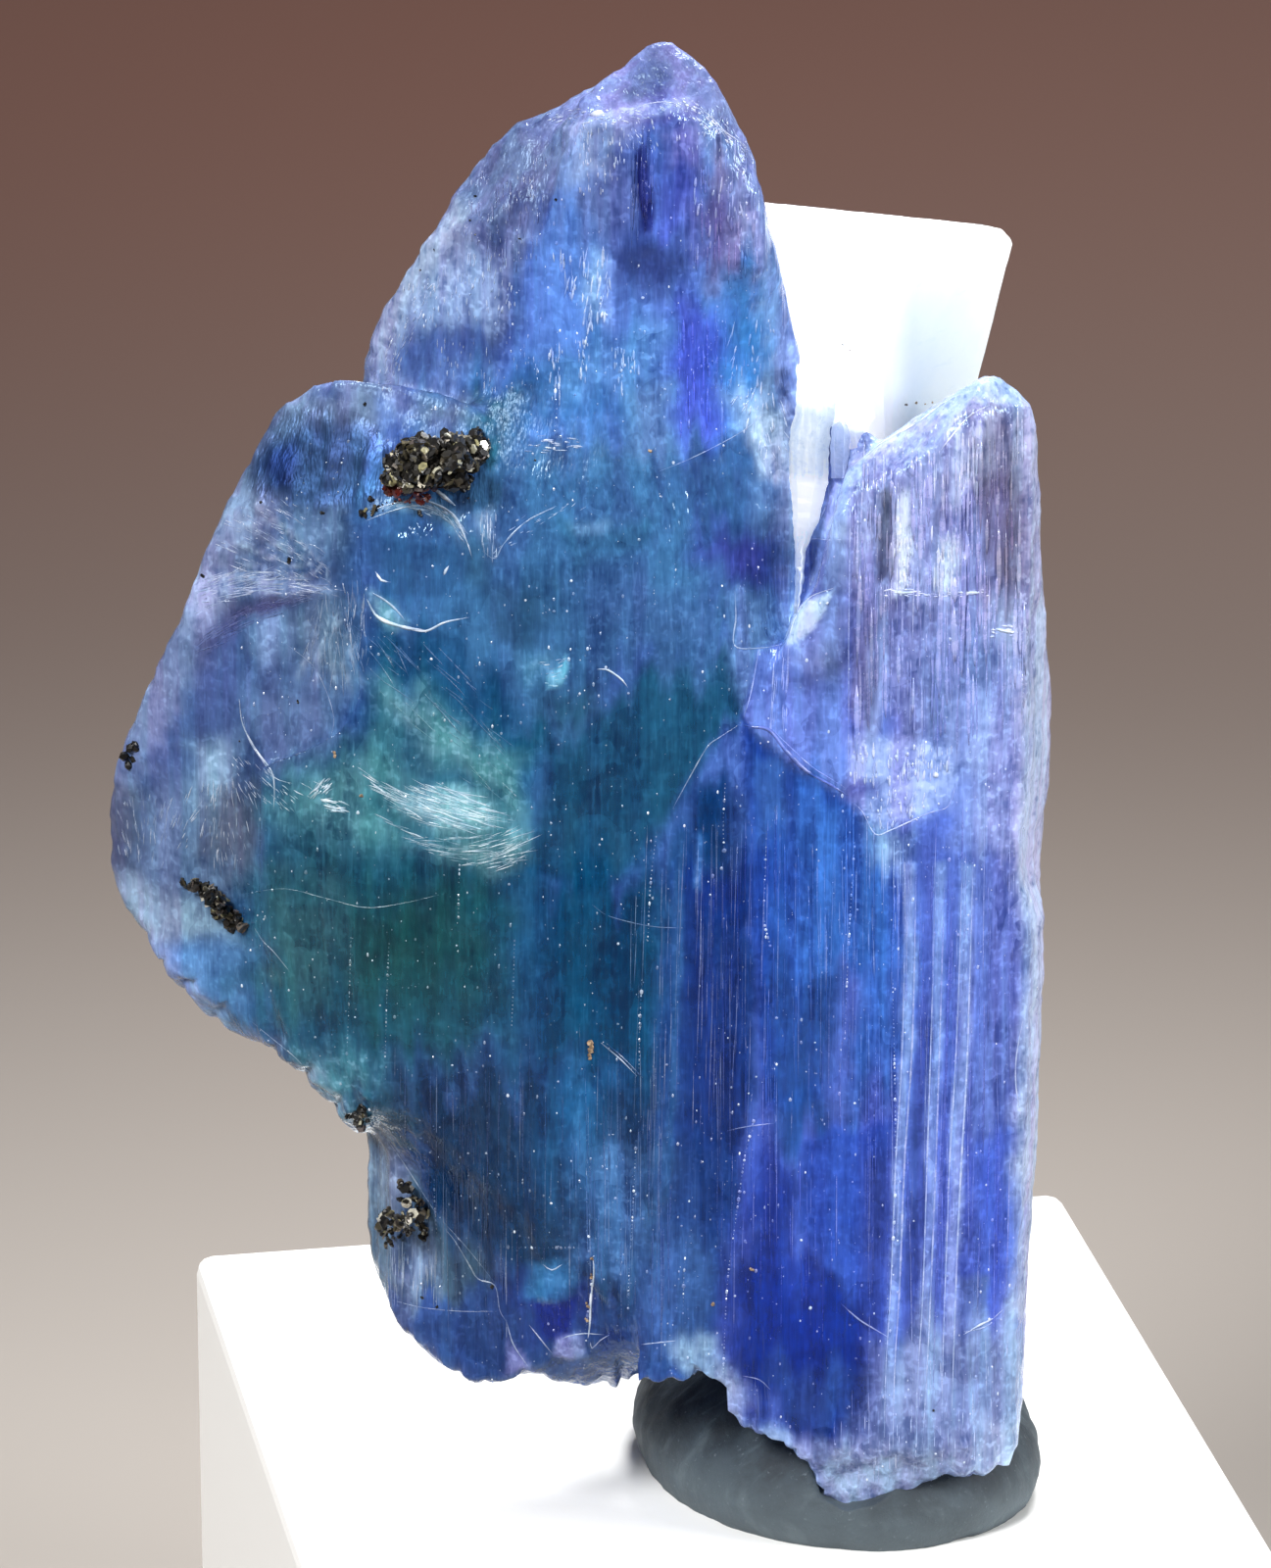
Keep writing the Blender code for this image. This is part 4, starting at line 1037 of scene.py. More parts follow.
def tanzanite_material():
    """Clear and hazy tanzanite, mixed by the points' haze."""
    material, graph = new_material("tanzanite")
    point, _ = specimen_point(graph)
    tint = graph.attribute("tint")
    haze, streaks, matt = graph.parts(graph.attribute("finish"), "Color")
    threads = graph.noise(graph.scaled(point, (13.0, 13.0, 0.4)), 1.0, roughness=0.65)
    bands = graph.noise(graph.scaled(point, (3.2, 3.2, 0.16)), 1.0, roughness=0.6)
    clouds = graph.noise(graph.scaled(point, (1.0, 1.0, 0.5)), 1.9, detail=3.0, roughness=0.72)
    grit = graph.noise(point, 10.0, detail=1.0, roughness=0.8)
    mottle = graph.noise(graph.scaled(point, (0.7, 0.7, 1.1)), 4.6, detail=1.0, roughness=0.7)
    grain = graph.noise(graph.scaled(point, (24.0, 24.0, 5.0)), 1.0, detail=1.0)
    pane = broken_panes(graph, point, 3.4)
    # Noise, the bounds of its slope, and its share in the darkening, then in the lightening
    darkening = [
        (threads, 0.32, 0.56, streaks * 0.4), (grain, 0.3, 0.5, 0.2),
        (bands, 0.36, 0.56, streaks * 0.5 + 0.04), (clouds, 0.34, 0.56, 0.22),
        (mottle, 0.34, 0.52, 0.2), (pane, 0.0, 0.55, 0.24), (grit, 0.3, 0.48, haze * 0.4),
    ]
    lightening = [
        (threads, 0.56, 0.72, streaks * 0.22), (grain, 0.56, 0.74, 0.16),
        (pane, 0.65, 1.0, haze * 0.12 + 0.06),
        (bands, 0.53, 0.7, streaks * 0.15), (clouds, 0.5, 0.72, haze * 0.22 + 0.05),
        (mottle, 0.54, 0.7, haze * 0.12 + 0.06), (grit, 0.55, 0.7, haze * 0.45),
    ]
    dark, light = 0.0, 0.0
    for texture, low, high, share in darkening:
        dark = (1 - graph.smooth(texture, low, high)) * share + dark
    for texture, low, high, share in lightening:
        light = graph.smooth(texture, low, high) * share + light
    warmer, cooler = graph.tinted(tint, (1.06, 0.97, 1.03)), graph.tinted(tint, (0.9, 1.04, 1.0))
    colour = graph.blend(graph.smooth(bands, 0.35, 0.6), warmer, cooler)
    milky = haze.math("POWER", 2.0)
    glow = graph.blend(milky, graph.tinted(colour, (2.2, 2.6, 2.4)), linear(*MILK))
    colour = graph.blend(dark.math("MINIMUM", 1.0), colour, graph.tinted(colour, (0.3, 0.38, 0.5)))
    colour = graph.blend(light.math("MINIMUM", 1.0), colour, glow)
    shared = {
        "Base Color": colour, "IOR": TANZANITE_IOR, "Specular Tint": SKY_TINT,
        "Metallic": graph.smooth(matt, 0.55, 0.95) * 0.75, "Normal": graph.bump(threads, 0.7, 0.00004),
    }
    clear = graph.node("ShaderNodeBsdfPrincipled", None, {
        **shared, "Roughness": 0.05 + matt * 0.5, "Transmission Weight": 1.0, "Specular IOR Level": 0.22,
    })
    hazy = graph.node("ShaderNodeBsdfPrincipled", None, {
        **shared, "Roughness": 0.16 + matt * 0.45, "Specular IOR Level": 0.16,
    })
    amount = haze * 0.55 + 0.46 + (clouds - 0.5) * 0.4
    amount = amount.math("MINIMUM", 0.97).math("MAXIMUM", 0.2)
    shader = graph.node("ShaderNodeMixShader", None, {0: amount, 1: clear, 2: hazy})
    volume = graph.node("ShaderNodeVolumeAbsorption", None, {"Color": INNER_TINT, "Density": 90.0})
    graph.node("ShaderNodeOutputMaterial", None, {"Surface": shader, "Volume": volume})
    return material


def dress(piece, material):
    """Gives the piece its only material, and smooth faces."""
    piece.data.materials.clear()
    piece.data.materials.append(material)
    for face in piece.data.polygons:
        face.use_smooth = True
        face.material_index = 0


dress(crystal, tanzanite_material())
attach(crystal, "root")
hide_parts("tanzanite_crystal")

# %% [markdown]
# ## Cracks, fibres and silvery shells
#
# Inside a crystal a crack is a mirror: it shines white where it faces the light. In this one they
# lie just under the skin. Drawn as colour they would be flat, so each is a real sliver: a thin
# ridge with four sides, pointed at both ends, half sunk into the skin. Its corners carry a colour
# between the crystal's own tint at that spot and white, a painted reflection of the light that
# the crack catches. That glow rises and falls along the sliver, so that a long crack breaks up
# into bright and faint stretches, as a real one does.

# %% A sliver on the skin
STEP_PX = 4.0
# The white of the slivers' painted reflection, and the ink of the darker ones
PAINTED_GLINT_WHITE = light_of(240, 247, 255)
INK = light_of(14, 26, 84)


def skin_tree(piece):
    """A search tree of the piece's faces, in metres."""
    faces = [tuple(face.vertices) for face in piece.data.polygons]
    return BVHTree.FromPolygons(array_of(piece.data.vertices, "co", 3).tolist(), faces)


def curve_through(stops):
    """A smooth path through the stops, a few pixels from point to point."""
    stops = [np.array(stop, dtype=float) for stop in stops]
    padded = [2 * stops[0] - stops[1], *stops, 2 * stops[-1] - stops[-2]]
    path = []
    for before, start, end, after in zip(padded, padded[1:], padded[2:], padded[3:]):
        count = max(2, int(np.hypot(*(end - start)) / STEP_PX))
        for t in np.arange(count) / count:
            bend = 2 * before - 5 * start + 4 * end - after
            twist = 3 * start - before - 3 * end + after
            path.append(0.5 * (2 * start + (end - before) * t + bend * t ** 2 + twist * t ** 3))
    path.append(stops[-1])
    return path


def tint_at(face):
    """The crystal's tint at one of its faces."""
    return crystal_tint[crystal.data.polygons[face].vertices[0]]


class Slivers:
    """Collects slivers that lie on the crystal's skin, and makes them one mesh."""

    def __init__(self, rng):
        self.rng = rng
        self.corners = []
        self.faces = []
        self.tints = []

    def add(self, path, width, glow, rise=0.35):
        """One sliver along a path of pixels. The width is in pixels, at its widest. The glow goes
        from the skin's tint, at nought, up to white, a painted reflection, at one, and below nought
        down to ink."""
        spots = [skin(crystal_skin, *pixel) for pixel in path]
        spots = [found for found in spots if found[0] is not None]
        if len(spots) < 3:
            return
        first = len(self.corners)
        # Above nought the sliver is painted towards white, a painted reflection; below, towards ink
        goal = PAINTED_GLINT_WHITE if glow > 0 else INK
        shift = self.rng.uniform(0, 100)
        for index, (spot, normal, face) in enumerate(spots):
            ahead = spots[min(index + 1, len(spots) - 1)][0] - spots[max(index - 1, 0)][0]
            side = ahead.normalized().cross(normal)
            part = index / (len(spots) - 1)
            broken = 0.5 + 0.5 * noise.noise(Vector((index * 0.45, shift, 0.0)))
            swell = math.sin(math.pi * part) ** 0.6
            half = 0.5 * width * MM_PER_PX * MM * max(0.1, swell * (0.45 + 0.75 * broken))
            self.corners += [
                spot + side * half, spot + normal * half * rise * 2,
                spot - side * half, spot - normal * half * rise * 2,
            ]
            own = tint_at(face)
            share = abs(glow) * (0.35 + 0.65 * swell) * min(1.0, 0.25 + 1.2 * broken)
            self.tints += [own + share * (goal - own)] * 4
        for ring in range(len(spots) - 1):
            a = first + 4 * ring
            for k in range(4):
                self.faces.append((a + k, a + (k + 1) % 4, a + 4 + (k + 1) % 4, a + 4 + k))
        last = first + 4 * (len(spots) - 1)
        self.faces.append((first + 3, first + 2, first + 1, first))
        self.faces.append((last, last + 1, last + 2, last + 3))

    def piece(self, name):
        return tinted_piece(name, self.corners, [], self.faces, self.tints)


def tinted_piece(name, corners, joins, faces, tints):
    """A piece from its corners, its loose edges or its faces, and a tint for each corner."""
    mesh = bpy.data.meshes.new(name)
    mesh.from_pydata(corners, joins, faces)
    work = opened(mesh)
    bmesh.ops.recalc_face_normals(work, faces=work.faces)
    work.to_mesh(mesh)
    work.free()
    keep_attribute(mesh, "tint", tints)
    return linked(name, mesh)


crystal_skin = skin_tree(crystal)
crystal_tint = array_of(crystal.data.attributes["tint"].data, "color", 4)[:, :3]
print("the middle of the picture meets the skin at", skin(crystal_skin, 648, 800)[0])

# %% Cracks
# Width in pixels, glow, then the stops of the line
CRACKS = table_rows("""
  3.2 0.6 367,526 393,516 422,510 441,513 463,526 476,552 482,570;
  2 0.35 372,532 398,522 424,516 446,522 460,536;
  2.2 0.3 492,562 505,570 514,555 536,533 568,516;
  5.5 0.8 374,611 386,630 412,640 434,643;
  3 0.5 378,604 392,612 404,622 414,634;
  2.6 0.75 412,641 434,644 454,635 479,630;
  3.5 0.95 383,583 389,592 399,594;
  3.8 0.9 453,587 455,582 458,577;
  2.6 0.7 244,713 248,740 262,766 277,787 280,806 279,826;
  1.8 0.4 248,730 253,753 269,778 281,794 300,800;
  1.4 0.2 292,657 322,683 340,728 337,756;
  1.4 0.3 670,482 700,470 727,457 756,441 782,421;
  2.6 0.95 609,683 618,683 626,687 635,694 641,702;
  1.6 0.3 775,660 766,708 758,734;
  6 -0.55 755,739 770,742 785,745 802,766 822,786 846,800 866,812;
  1.4 0.15 786,742 806,762 828,782 850,796 866,806;
  1.8 0.3 869,818 880,828 893,851 909,847 947,830 967,823 976,800;
  1.4 0.25 758,737 735,752 722,762 705,791 686,826;
  1.3 0.18 604,923 622,935 663,945 698,947;
  1.8 0.4 613,1064 632,1080 650,1098;
  3 -0.5 618,1064 636,1080 656,1100;
  1.6 0.3 983,1359 1000,1356 1012,1350 1020,1343;
  3.4 0.55 868,478 900,452 935,432 962,412 985,400;
  2.4 0.6 958,462 972,444 990,424 1008,414;
  1.6 0.2 868,472 867,560 866,660 866,740 865,808;
  1.8 0.7 804,656 811,632 826,610 851,600;
  1.4 0.3 826,611 826,580 826,552 846,551 866,550;
  1.6 0.5 846,494 843,516 826,551;
  4 0.9 910,604 922,605 934,604;
  4 0.85 974,604 990,605 1006,604;
  5 0.85 1013,641 1026,644 1040,646;
  3.4 0.8 954,574 954,590 953,606;
  5 0.8 440,496 452,506 466,517;
  1.8 0.45 750,603 751,630 750,659 778,661 800,657;
  2 0.3 393,1160 410,1184 432,1218 446,1240;
  1.4 0.2 446,1240 470,1266 487,1286 507,1312;
  1.4 0.35 258,944 268,960 280,972 296,992;
  1.6 0.35 256,1042 278,1060 300,1078 318,1098 334,1120;
  1.4 0.1 250,912 290,907 330,916 372,926 410,922 452,912;
  1.4 0.35 330,1132 345,1142 362,1160 376,1180;
  2.2 0.6 700,108 716,112 730,124 742,136 756,146 768,164;
  1.6 0.4 634,118 655,108 676,104 700,108;
  1.4 0.2 398,1326 430,1334 470,1338 510,1338;
  1.8 0.3 758,1404 775,1408 786,1418;
  2.2 0.6 554,1290 563,1296 574,1290;
  1.6 0.3 742,1154 760,1150 790,1146;
  12 0.8 602,117 607,116 612,116 617,118;
  2 0.35 452,1252 464,1266 479,1291 488,1305 505,1312 510,1337 517,1349;
  1.8 0.5 566,1380 572,1367 593,1361 617,1362;
  1.6 0.45 517,1349 524,1372 540,1396;
  1.6 0.4 540,1352 556,1372 566,1384;
  2 0.4 654,1372 672,1370 690,1368;
  3.6 0.95 605,1282 606,1300 603,1325 602,1350 600,1366;
  1.8 0.5 602,1366 604,1376 612,1368 622,1362;
  2.6 0.4 935,890 931,1061 923,1187 918,1313 913,1398 911,1480;
  1.8 0.3 924,890 921,1061 914,1187 909,1313 904,1398 902,1480;
  2.2 0.35 964,900 959,1061 955,1187 950,1313 946,1398 941,1480;
  1.8 0.3 955,900 950,1061 946,1187 942,1313 937,1398 933,1480;
  2.6 0.4 993,880 989,1018 986,1103 981,1187 977,1271 974,1355 971,1450;
  2 0.35 982,880 978,1018 974,1103 969,1187 966,1271 963,1355 961,1450;
  3 -0.4 972,900 968,1018 965,1103 961,1187 957,1271 954,1355 951,1450;
  2 0.35 858,1330 876,1346 892,1356 909,1366;
  2.6 0.6 983,1362 1000,1352 1012,1346 1024,1336;
  1.8 0.4 1044,1040 1037,1080 1037,1110 1042,1140;
""")
SLIVER_SEED = 11


def make_cracks():
    """One piece with a sliver for each crack."""
    slivers = Slivers(random.Random(SLIVER_SEED))
    for (width, glow), stops in CRACKS:
        slivers.add(curve_through(stops), width, glow)
    return slivers.piece("cracks")


cracks = make_cracks()
print(len(CRACKS), "cracks,", len(cracks.data.polygons), "faces")

# %% [markdown]
# A feather is a field of many short slivers, combed in one direction. A field is an outline
# again, with a combing direction at its left and one at its right, in degrees downwards from the
# right, a number of slivers, ranges for their length and width, and its strongest glow. The
# random numbers come from one generator with a fixed seed.

# %% Fields of slivers
# Direction left and right, count, least and most length, least and most width, glow, outline
SILVER_FIELDS = table_rows("""
  30 10 150 18 60 0.8 2.2 0.85 366,782 407,806 444,800 492,814 514,832 500,846 444,846 400,824;
  36 -26 120 12 44 0.7 1.8 0.6 372,820 434,858 490,852 538,842 538,873 511,888 470,882 433,868;
  28 8 50 14 50 0.7 1.8 -0.3 372,790 412,808 444,804 490,816 510,832 500,846 444,846 400,824;
  -50 -40 22 8 18 1.5 3.4 0.95 318,804 330,794 344,800 334,816 320,816;
  16 6 24 8 22 1.5 3.2 0.95 324,814 352,818 354,828 336,828;
  20 36 110 8 28 0.7 2 0.36 222,516 300,510 332,566 338,602 262,590 222,572;
  -24 8 90 24 80 0.7 1.8 0.45 196,590 262,582 334,600 338,606 262,606 210,622;
  -36 -6 60 20 70 0.7 2 -0.4 205,652 240,622 281,610 322,611 285,627 250,640 215,668;
  112 68 60 14 46 0.6 1.5 0.32 322,612 352,616 372,680 350,704 306,668;
  100 70 60 6 24 0.9 2.4 0.55 206,800 240,790 262,820 246,880 206,890;
  70 130 70 6 26 0.8 2.4 0.6 120,820 190,800 206,830 190,884 118,880;
  60 20 60 5 18 0.9 2.4 0.6 236,770 300,800 340,800 300,830 240,810;
  80 96 34 8 30 1 2.6 0.5 350,600 372,600 376,680 360,680;
  44 40 50 20 80 0.7 2.2 0.1 386,640 470,680 528,770 526,822 440,782 384,724;
  6 -30 18 6 16 1 2.4 0.5 552,676 578,664 580,686 570,702 556,700;
  -30 60 60 8 26 0.8 2.2 0.5 384,520 404,511 444,514 470,532 482,562 452,530 420,520;
  90 90 26 8 30 0.8 2 0.55 486,528 506,524 508,566 494,572;
  -36 -22 26 5 16 0.8 2 0.4 494,552 540,520 604,506 604,516 540,544 506,570;
""")
FROST_FIELDS = table_rows("""
  88 92 90 5 22 1.4 4.5 0.85 867,766 972,760 972,792 867,800;
  84 100 46 4 16 1.2 4.2 0.8 880,806 968,800 960,824 900,848;
  90 90 34 6 24 1.2 3.6 0.85 912,548 932,548 930,606 914,606;
  90 90 30 6 24 1.2 3.6 0.8 956,544 980,544 978,604 956,604;
  90 90 10 8 22 1.6 3.6 0.8 919,548 934,548 934,572 919,572;
  90 90 10 8 22 1.6 3.6 0.8 962,548 978,548 978,572 962,572;
  0 0 40 5 16 1.6 4.4 0.7 904,601 1008,601 1008,609 904,609;
  0 8 16 6 16 2 5 0.7 1012,636 1046,636 1046,650 1012,650;
  90 90 26 14 60 1 3 0.6 912,480 968,480 966,560 912,560;
  26 60 70 3 13 1 3.4 0.8 690,98 716,106 746,128 774,160 762,168 730,136 700,118;
  -30 30 70 3 12 1 3.2 0.7 556,116 600,106 640,114 690,102 696,112 640,128 600,126 562,128;
  100 120 90 3 14 0.8 2.8 0.6 376,396 400,336 430,290 452,290 420,350 400,400;
  90 90 26 5 22 1.2 3.6 0.85 560,356 574,356 572,412 560,412;
  90 90 30 5 20 1.2 4 0.6 624,356 654,360 650,404 628,402;
  90 90 90 30 140 0.7 2.4 0.25 872,480 1046,440 1048,740 872,740;
  90 90 90 30 130 4 9 0.22 872,480 1046,440 1048,740 872,740;
  90 90 130 20 110 1.2 6 -0.35 872,480 1046,440 1048,740 872,740;
  88 94 90 4 16 1 3.4 0.6 410,292 516,250 528,320 430,338;
  90 90 70 4 14 0.8 2.4 0.4 478,180 560,160 546,280 470,280;
  90 90 60 8 30 1.4 4 -0.4 478,180 560,160 546,280 470,280;
  90 96 70 4 26 1 4 0.85 560,262 626,262 622,336 600,338;
  90 90 60 3 12 0.8 2.4 0.6 430,350 540,340 560,400 470,400;
  90 90 24 4 16 1.2 3.6 0.85 586,344 602,344 600,388 588,388;
  60 120 60 3 10 0.8 2.6 0.7 640,120 760,118 766,160 640,150;
  90 90 70 4 16 0.8 2.8 0.7 585,120 640,128 636,200 590,200;
  90 90 40 16 70 1.6 5 -0.8 644,146 668,146 668,226 644,230;
  96 84 20 8 32 1 4 0.4 700,180 760,190 760,260 700,260;
  90 90 60 12 50 1.6 4.6 -0.45 706,140 774,160 776,280 706,280;
  130 60 44 6 22 1 3.4 0.55 744,402 772,392 804,416 804,468 776,462;
  96 84 26 6 26 1 3.4 0.35 742,330 800,330 804,404 742,404;
  90 90 50 14 60 1.2 4 -0.4 690,330 744,330 744,450 690,450;
  0 4 26 4 16 1.2 3.4 0.7 538,444 592,444 592,462 538,462;
  90 90 50 14 46 0.8 2.4 0.4 396,1280 446,1274 446,1324 400,1324;
  90 90 60 8 60 0.8 2.6 0.3 840,1440 1036,1360 1036,1480 870,1520;
  90 90 40 20 110 0.7 2 0.3 830,860 930,860 930,980 830,980;
  93 93 24 12 50 1 2.6 0.4 790,664 806,664 804,740 786,745;
  91 91 30 50 200 0.6 1.6 0.2 640,900 700,900 686,1180 650,1180;
  91 91 46 50 200 0.6 1.6 0.2 700,860 790,860 780,1140 700,1140;
  90 91 90 60 260 0.6 1.8 0.16 700,860 1040,860 1036,1340 740,1340;
  90 91 120 50 220 1 3.4 -0.3 700,860 1040,860 1036,1340 740,1340;
  90 90 60 50 200 0.6 1.8 0.16 400,1100 690,1100 680,1330 450,1300;
  90 90 90 50 180 0.8 2.6 -0.35 400,1100 690,1100 680,1330 450,1300;
""")
FIELD_SEED = 23
SLIVER_STEPS = 5


def pixel_in(outline, rng):
    """A random pixel inside an outline."""
    columns, rows = zip(*outline)
    while True:
        column, row = rng.uniform(min(columns), max(columns)), rng.uniform(min(rows), max(rows))
        if within(np.array([column]), np.array([row]), outline)[0]:
            return column, row


def field_of_slivers(slivers, numbers, outline):
    """Adds one field's slivers, each at a random spot inside the outline."""
    start, end, count, shortest, longest, thinnest, widest, glow = numbers
    rng = slivers.rng
    left, right = min(x for x, _ in outline), max(x for x, _ in outline)
    for _ in range(int(count)):
        x, y = pixel_in(outline, rng)
        share = (x - left) / (right - left)
        spread = 0.8 if abs(start - 90) < 4 and abs(end - 90) < 4 else 6
        angle = math.radians(start + share * (end - start) + rng.gauss(0, spread))
        length = rng.uniform(shortest, longest) * rng.uniform(0.5, 1.0)
        bend = rng.gauss(0, 0.12) if spread > 1 else 0.0
        x -= math.cos(angle) * length / 2
        y -= math.sin(angle) * length / 2
        path = []
        for _ in range(SLIVER_STEPS + 1):
            path.append((x, y))
            x += math.cos(angle) * length / SLIVER_STEPS
            y += math.sin(angle) * length / SLIVER_STEPS
            angle += bend / SLIVER_STEPS
        width = rng.uniform(thinnest, widest) * rng.uniform(0.5, 1.0)
        slivers.add(path, width, glow * rng.uniform(0.25, 1.0))


def make_fields(name, fields, seed):
    """One piece with the slivers of all the fields of a table."""
    slivers = Slivers(random.Random(seed))
    for numbers, outline in fields:
        field_of_slivers(slivers, numbers, outline)
    return slivers.piece(name)


feathers = make_fields("feathers", SILVER_FIELDS, FIELD_SEED)
frost = make_fields("frost_threads", FROST_FIELDS, FIELD_SEED + 1)
print("slivers:", len(feathers.data.polygons), "and", len(frost.data.polygons), "faces")

# %% [markdown]
# ## Dust of light
#
# The whole crystal is peppered with pin-points, where tiny bubbles and grains sit close under
# the skin, and some of them are strung on straight growth lines like beads. Both repeat one
# small shape, which is work for Geometry Nodes: points are scattered on the front faces, or set
# along the lines, and each gets a small rough ball of random size. Most stay faint, and few are
# bright: a random number that is stored with each ball says how far it shines out of the tint.

# %% Specks as node trees
SPECK_SHAPE = ((0.7, 0.4, 0.8), (1.2, 0.6, 1.7))
FACES_PER_SPECK = 20


def spots_on_faces(graph, inputs):
    """Random spots all over the faces that the tree is given."""
    sockets = {"Mesh": inputs["Geometry"], "Density": inputs["Density"], "Seed": inputs["Seed"]}
    return graph.node("GeometryNodeDistributePointsOnFaces", None, sockets)


def on_spots(graph, spots, shape, sockets, name, value):
    """Sets a small shape on every spot, and stores a random number with each under a name."""
    sockets = {"Points": spots, "Instance": shape, **sockets}
    placed = graph.node("GeometryNodeInstanceOnPoints", None, sockets)
    settings = {"data_type": "FLOAT", "domain": "INSTANCE"}
    sockets = {"Geometry": placed, "Name": name, "Value": value}
    stored = graph.node("GeometryNodeStoreNamedAttribute", settings, sockets)
    return graph.node("GeometryNodeRealizeInstances", None, {"Geometry": stored})


def finish_tree(graph, inputs, geometry):
    """The tree's last nodes: its finish, and its way out."""
    sockets = {"Geometry": geometry, "Material": inputs["Finish"]}
    done = graph.node("GeometryNodeSetMaterial", None, sockets)
    graph.node("NodeGroupOutput", None, {"Geometry": done})


def speck_tree(name, from_lines):
    """Small balls scattered on faces, or strung along edges."""
    kinds = [("Density", "Float"), ("Smallest", "Float"), ("Largest", "Float")]
    tree, graph, inputs = start_tree(name, kinds + [("Seed", "Int"), ("Finish", "Material")])
    if from_lines:
        lines = graph.node("GeometryNodeMeshToCurve", None, {"Mesh": inputs["Geometry"]})
        sockets = {"Curve": lines, "Length": inputs["Density"]}
        even_lines = graph.node("GeometryNodeResampleCurve", {"mode": "LENGTH"}, sockets)
        spots = graph.node("GeometryNodeCurveToPoints", {"mode": "EVALUATED"}, {"Curve": even_lines})
    else:
        spots = spots_on_faces(graph, inputs)
    ball = graph.node("GeometryNodeMeshIcoSphere", None, {"Radius": 1.0, "Subdivisions": 1})
    seed = inputs["Seed"]
    even = graph.random(0.0, 1.0, seed)
    bright = graph.random(0.0, 1.0, seed + 7.0)
    size = inputs["Smallest"] + even.math("POWER", 4.0) * (inputs["Largest"] - inputs["Smallest"])
    stretch = graph.random(*SPECK_SHAPE, seed, vector=True)
    sockets = {"Scale": graph.vector("SCALE", {0: stretch, "Scale": size})}
    shapes = on_spots(graph, spots, ball, sockets, "shine", bright.math("POWER", 4.0))
    finish_tree(graph, inputs, shapes)
    return tree


def glint_material(name, with_shine):
    """Small bright inclusions: the tint that they carry, with paler and darker flecks."""
    material, graph = new_material(name)
    point, _ = specimen_point(graph)
    colour = graph.attribute("tint")
    if with_shine:
        shine = graph.attribute("shine", out=2)
        colour = graph.blend(shine * 0.85 + 0.1, colour, linear(236, 244, 255))
    flecks = graph.noise(point, 6.0, detail=3.0, roughness=0.7)
    tone = graph.blend(graph.smooth(flecks, 0.35, 0.65), graph.tinted(colour, (0.62, 0.72, 0.8)), colour)
    rough = 0.18 + graph.smooth(flecks, 0.4, 0.7) * 0.25
    return finished(material, graph, {
        "Base Color": tone, "Roughness": rough, "IOR": TANZANITE_IOR, "Specular IOR Level": 0.6,
    })


sliver_finish = glint_material("slivers", False)
speck_finish = glint_material("pin_points", True)


def front_faces(piece, name):
    """A copy of the faces of a piece that look to the front."""
    work = opened(piece.data)
    limit = (SPECIMEN.y + FRONT_DEPTH) * MM
    hidden = [
        face for face in work.faces if face.normal.y > -SIDEWAYS or face.calc_center_median().y > limit
    ]
    bmesh.ops.delete(work, geom=hidden, context="FACES")
    return piece_of(work, name)


SPECK_INPUTS = {
    "Density": 20 / MM ** 2, "Smallest": 0.0045 * MM, "Largest": 0.02 * MM, "Seed": 5,
    "Finish": speck_finish,
}
specks = front_faces(crystal, "pin_points")
run_tree(specks, speck_tree("scattered_specks", False), SPECK_INPUTS)
print("scattered specks:", len(specks.data.polygons) // FACES_PER_SPECK)

# %% Beaded lines
BEADED_LINES = table_rows("""
  649,1164 647,1210 645,1250 642,1296 641,1335;
  770,1140 760,1181 751,1243 745,1284 742,1312 740,1350 738,1400;
  606,1282 604,1310 600,1340 597,1360;
  782,856 781,890 780,938 786,965;
  469,883 468,910 468,936;
  358,957 357,1000 354,1075;
  397,963 395,1010 393,1078;
  525,960 524,1000 522,1050;
  510,1272 545,1273 590,1273;
  670,850 664,900 661,960;
  443,1206 444,1232 446,1262;
  655,1000 653,1040 652,1090;
  872,860 866,960 862,1060;
  911,1000 914,1180 910,1300;
  740,800 738,840 739,868;
  700,1268 698,1300 697,1340;
  566,390 568,420 566,440;
""")
# Strung along a line, the density is the distance from bead to bead
BEAD_INPUTS = {
    "Density": 0.05 * MM, "Smallest": 0.004 * MM, "Largest": 0.026 * MM, "Seed": 9,
    "Finish": speck_finish,
}


def make_beaded_lines():
    corners, joins, tints = [], [], []
    for _, stops in BEADED_LINES:
        first = len(corners)
        for pixel in curve_through(stops):
            spot, _, face = skin(crystal_skin, *pixel)
            if spot is not None:
                corners.append(spot)
                tints.append(tint_at(face))
        joins += [(k, k + 1) for k in range(first, len(corners) - 1)]
    lines = tinted_piece("beaded_lines", corners, joins, [], tints)
    return run_tree(lines, speck_tree("strung_specks", True), BEAD_INPUTS)


beads = make_beaded_lines()
print("strung specks:", len(beads.data.polygons) // FACES_PER_SPECK)
for piece in (cracks, feathers, frost):
    dress(piece, sliver_finish)
for piece in (cracks, feathers, frost, specks, beads):
    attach(piece, "root")

# %% [markdown]
# ## Small prisms in the notch
#
# In the notch between the peak and the right blade stands a pale, nearly clear prism with a
# pointed lower end, and a smaller bluish one beside it. Each is lofted: a section with six
# corners is repeated from row to row of the photograph, wider or narrower, and the last one
# closes to a point. Their backs are sunk into the crystal behind them.

# %% Lofted prisms
SECTION = [(0.0, 0.45), (0.22, 0.05), (0.66, 0.0), (1.0, 0.4), (0.8, 1.0), (0.2, 1.0)]
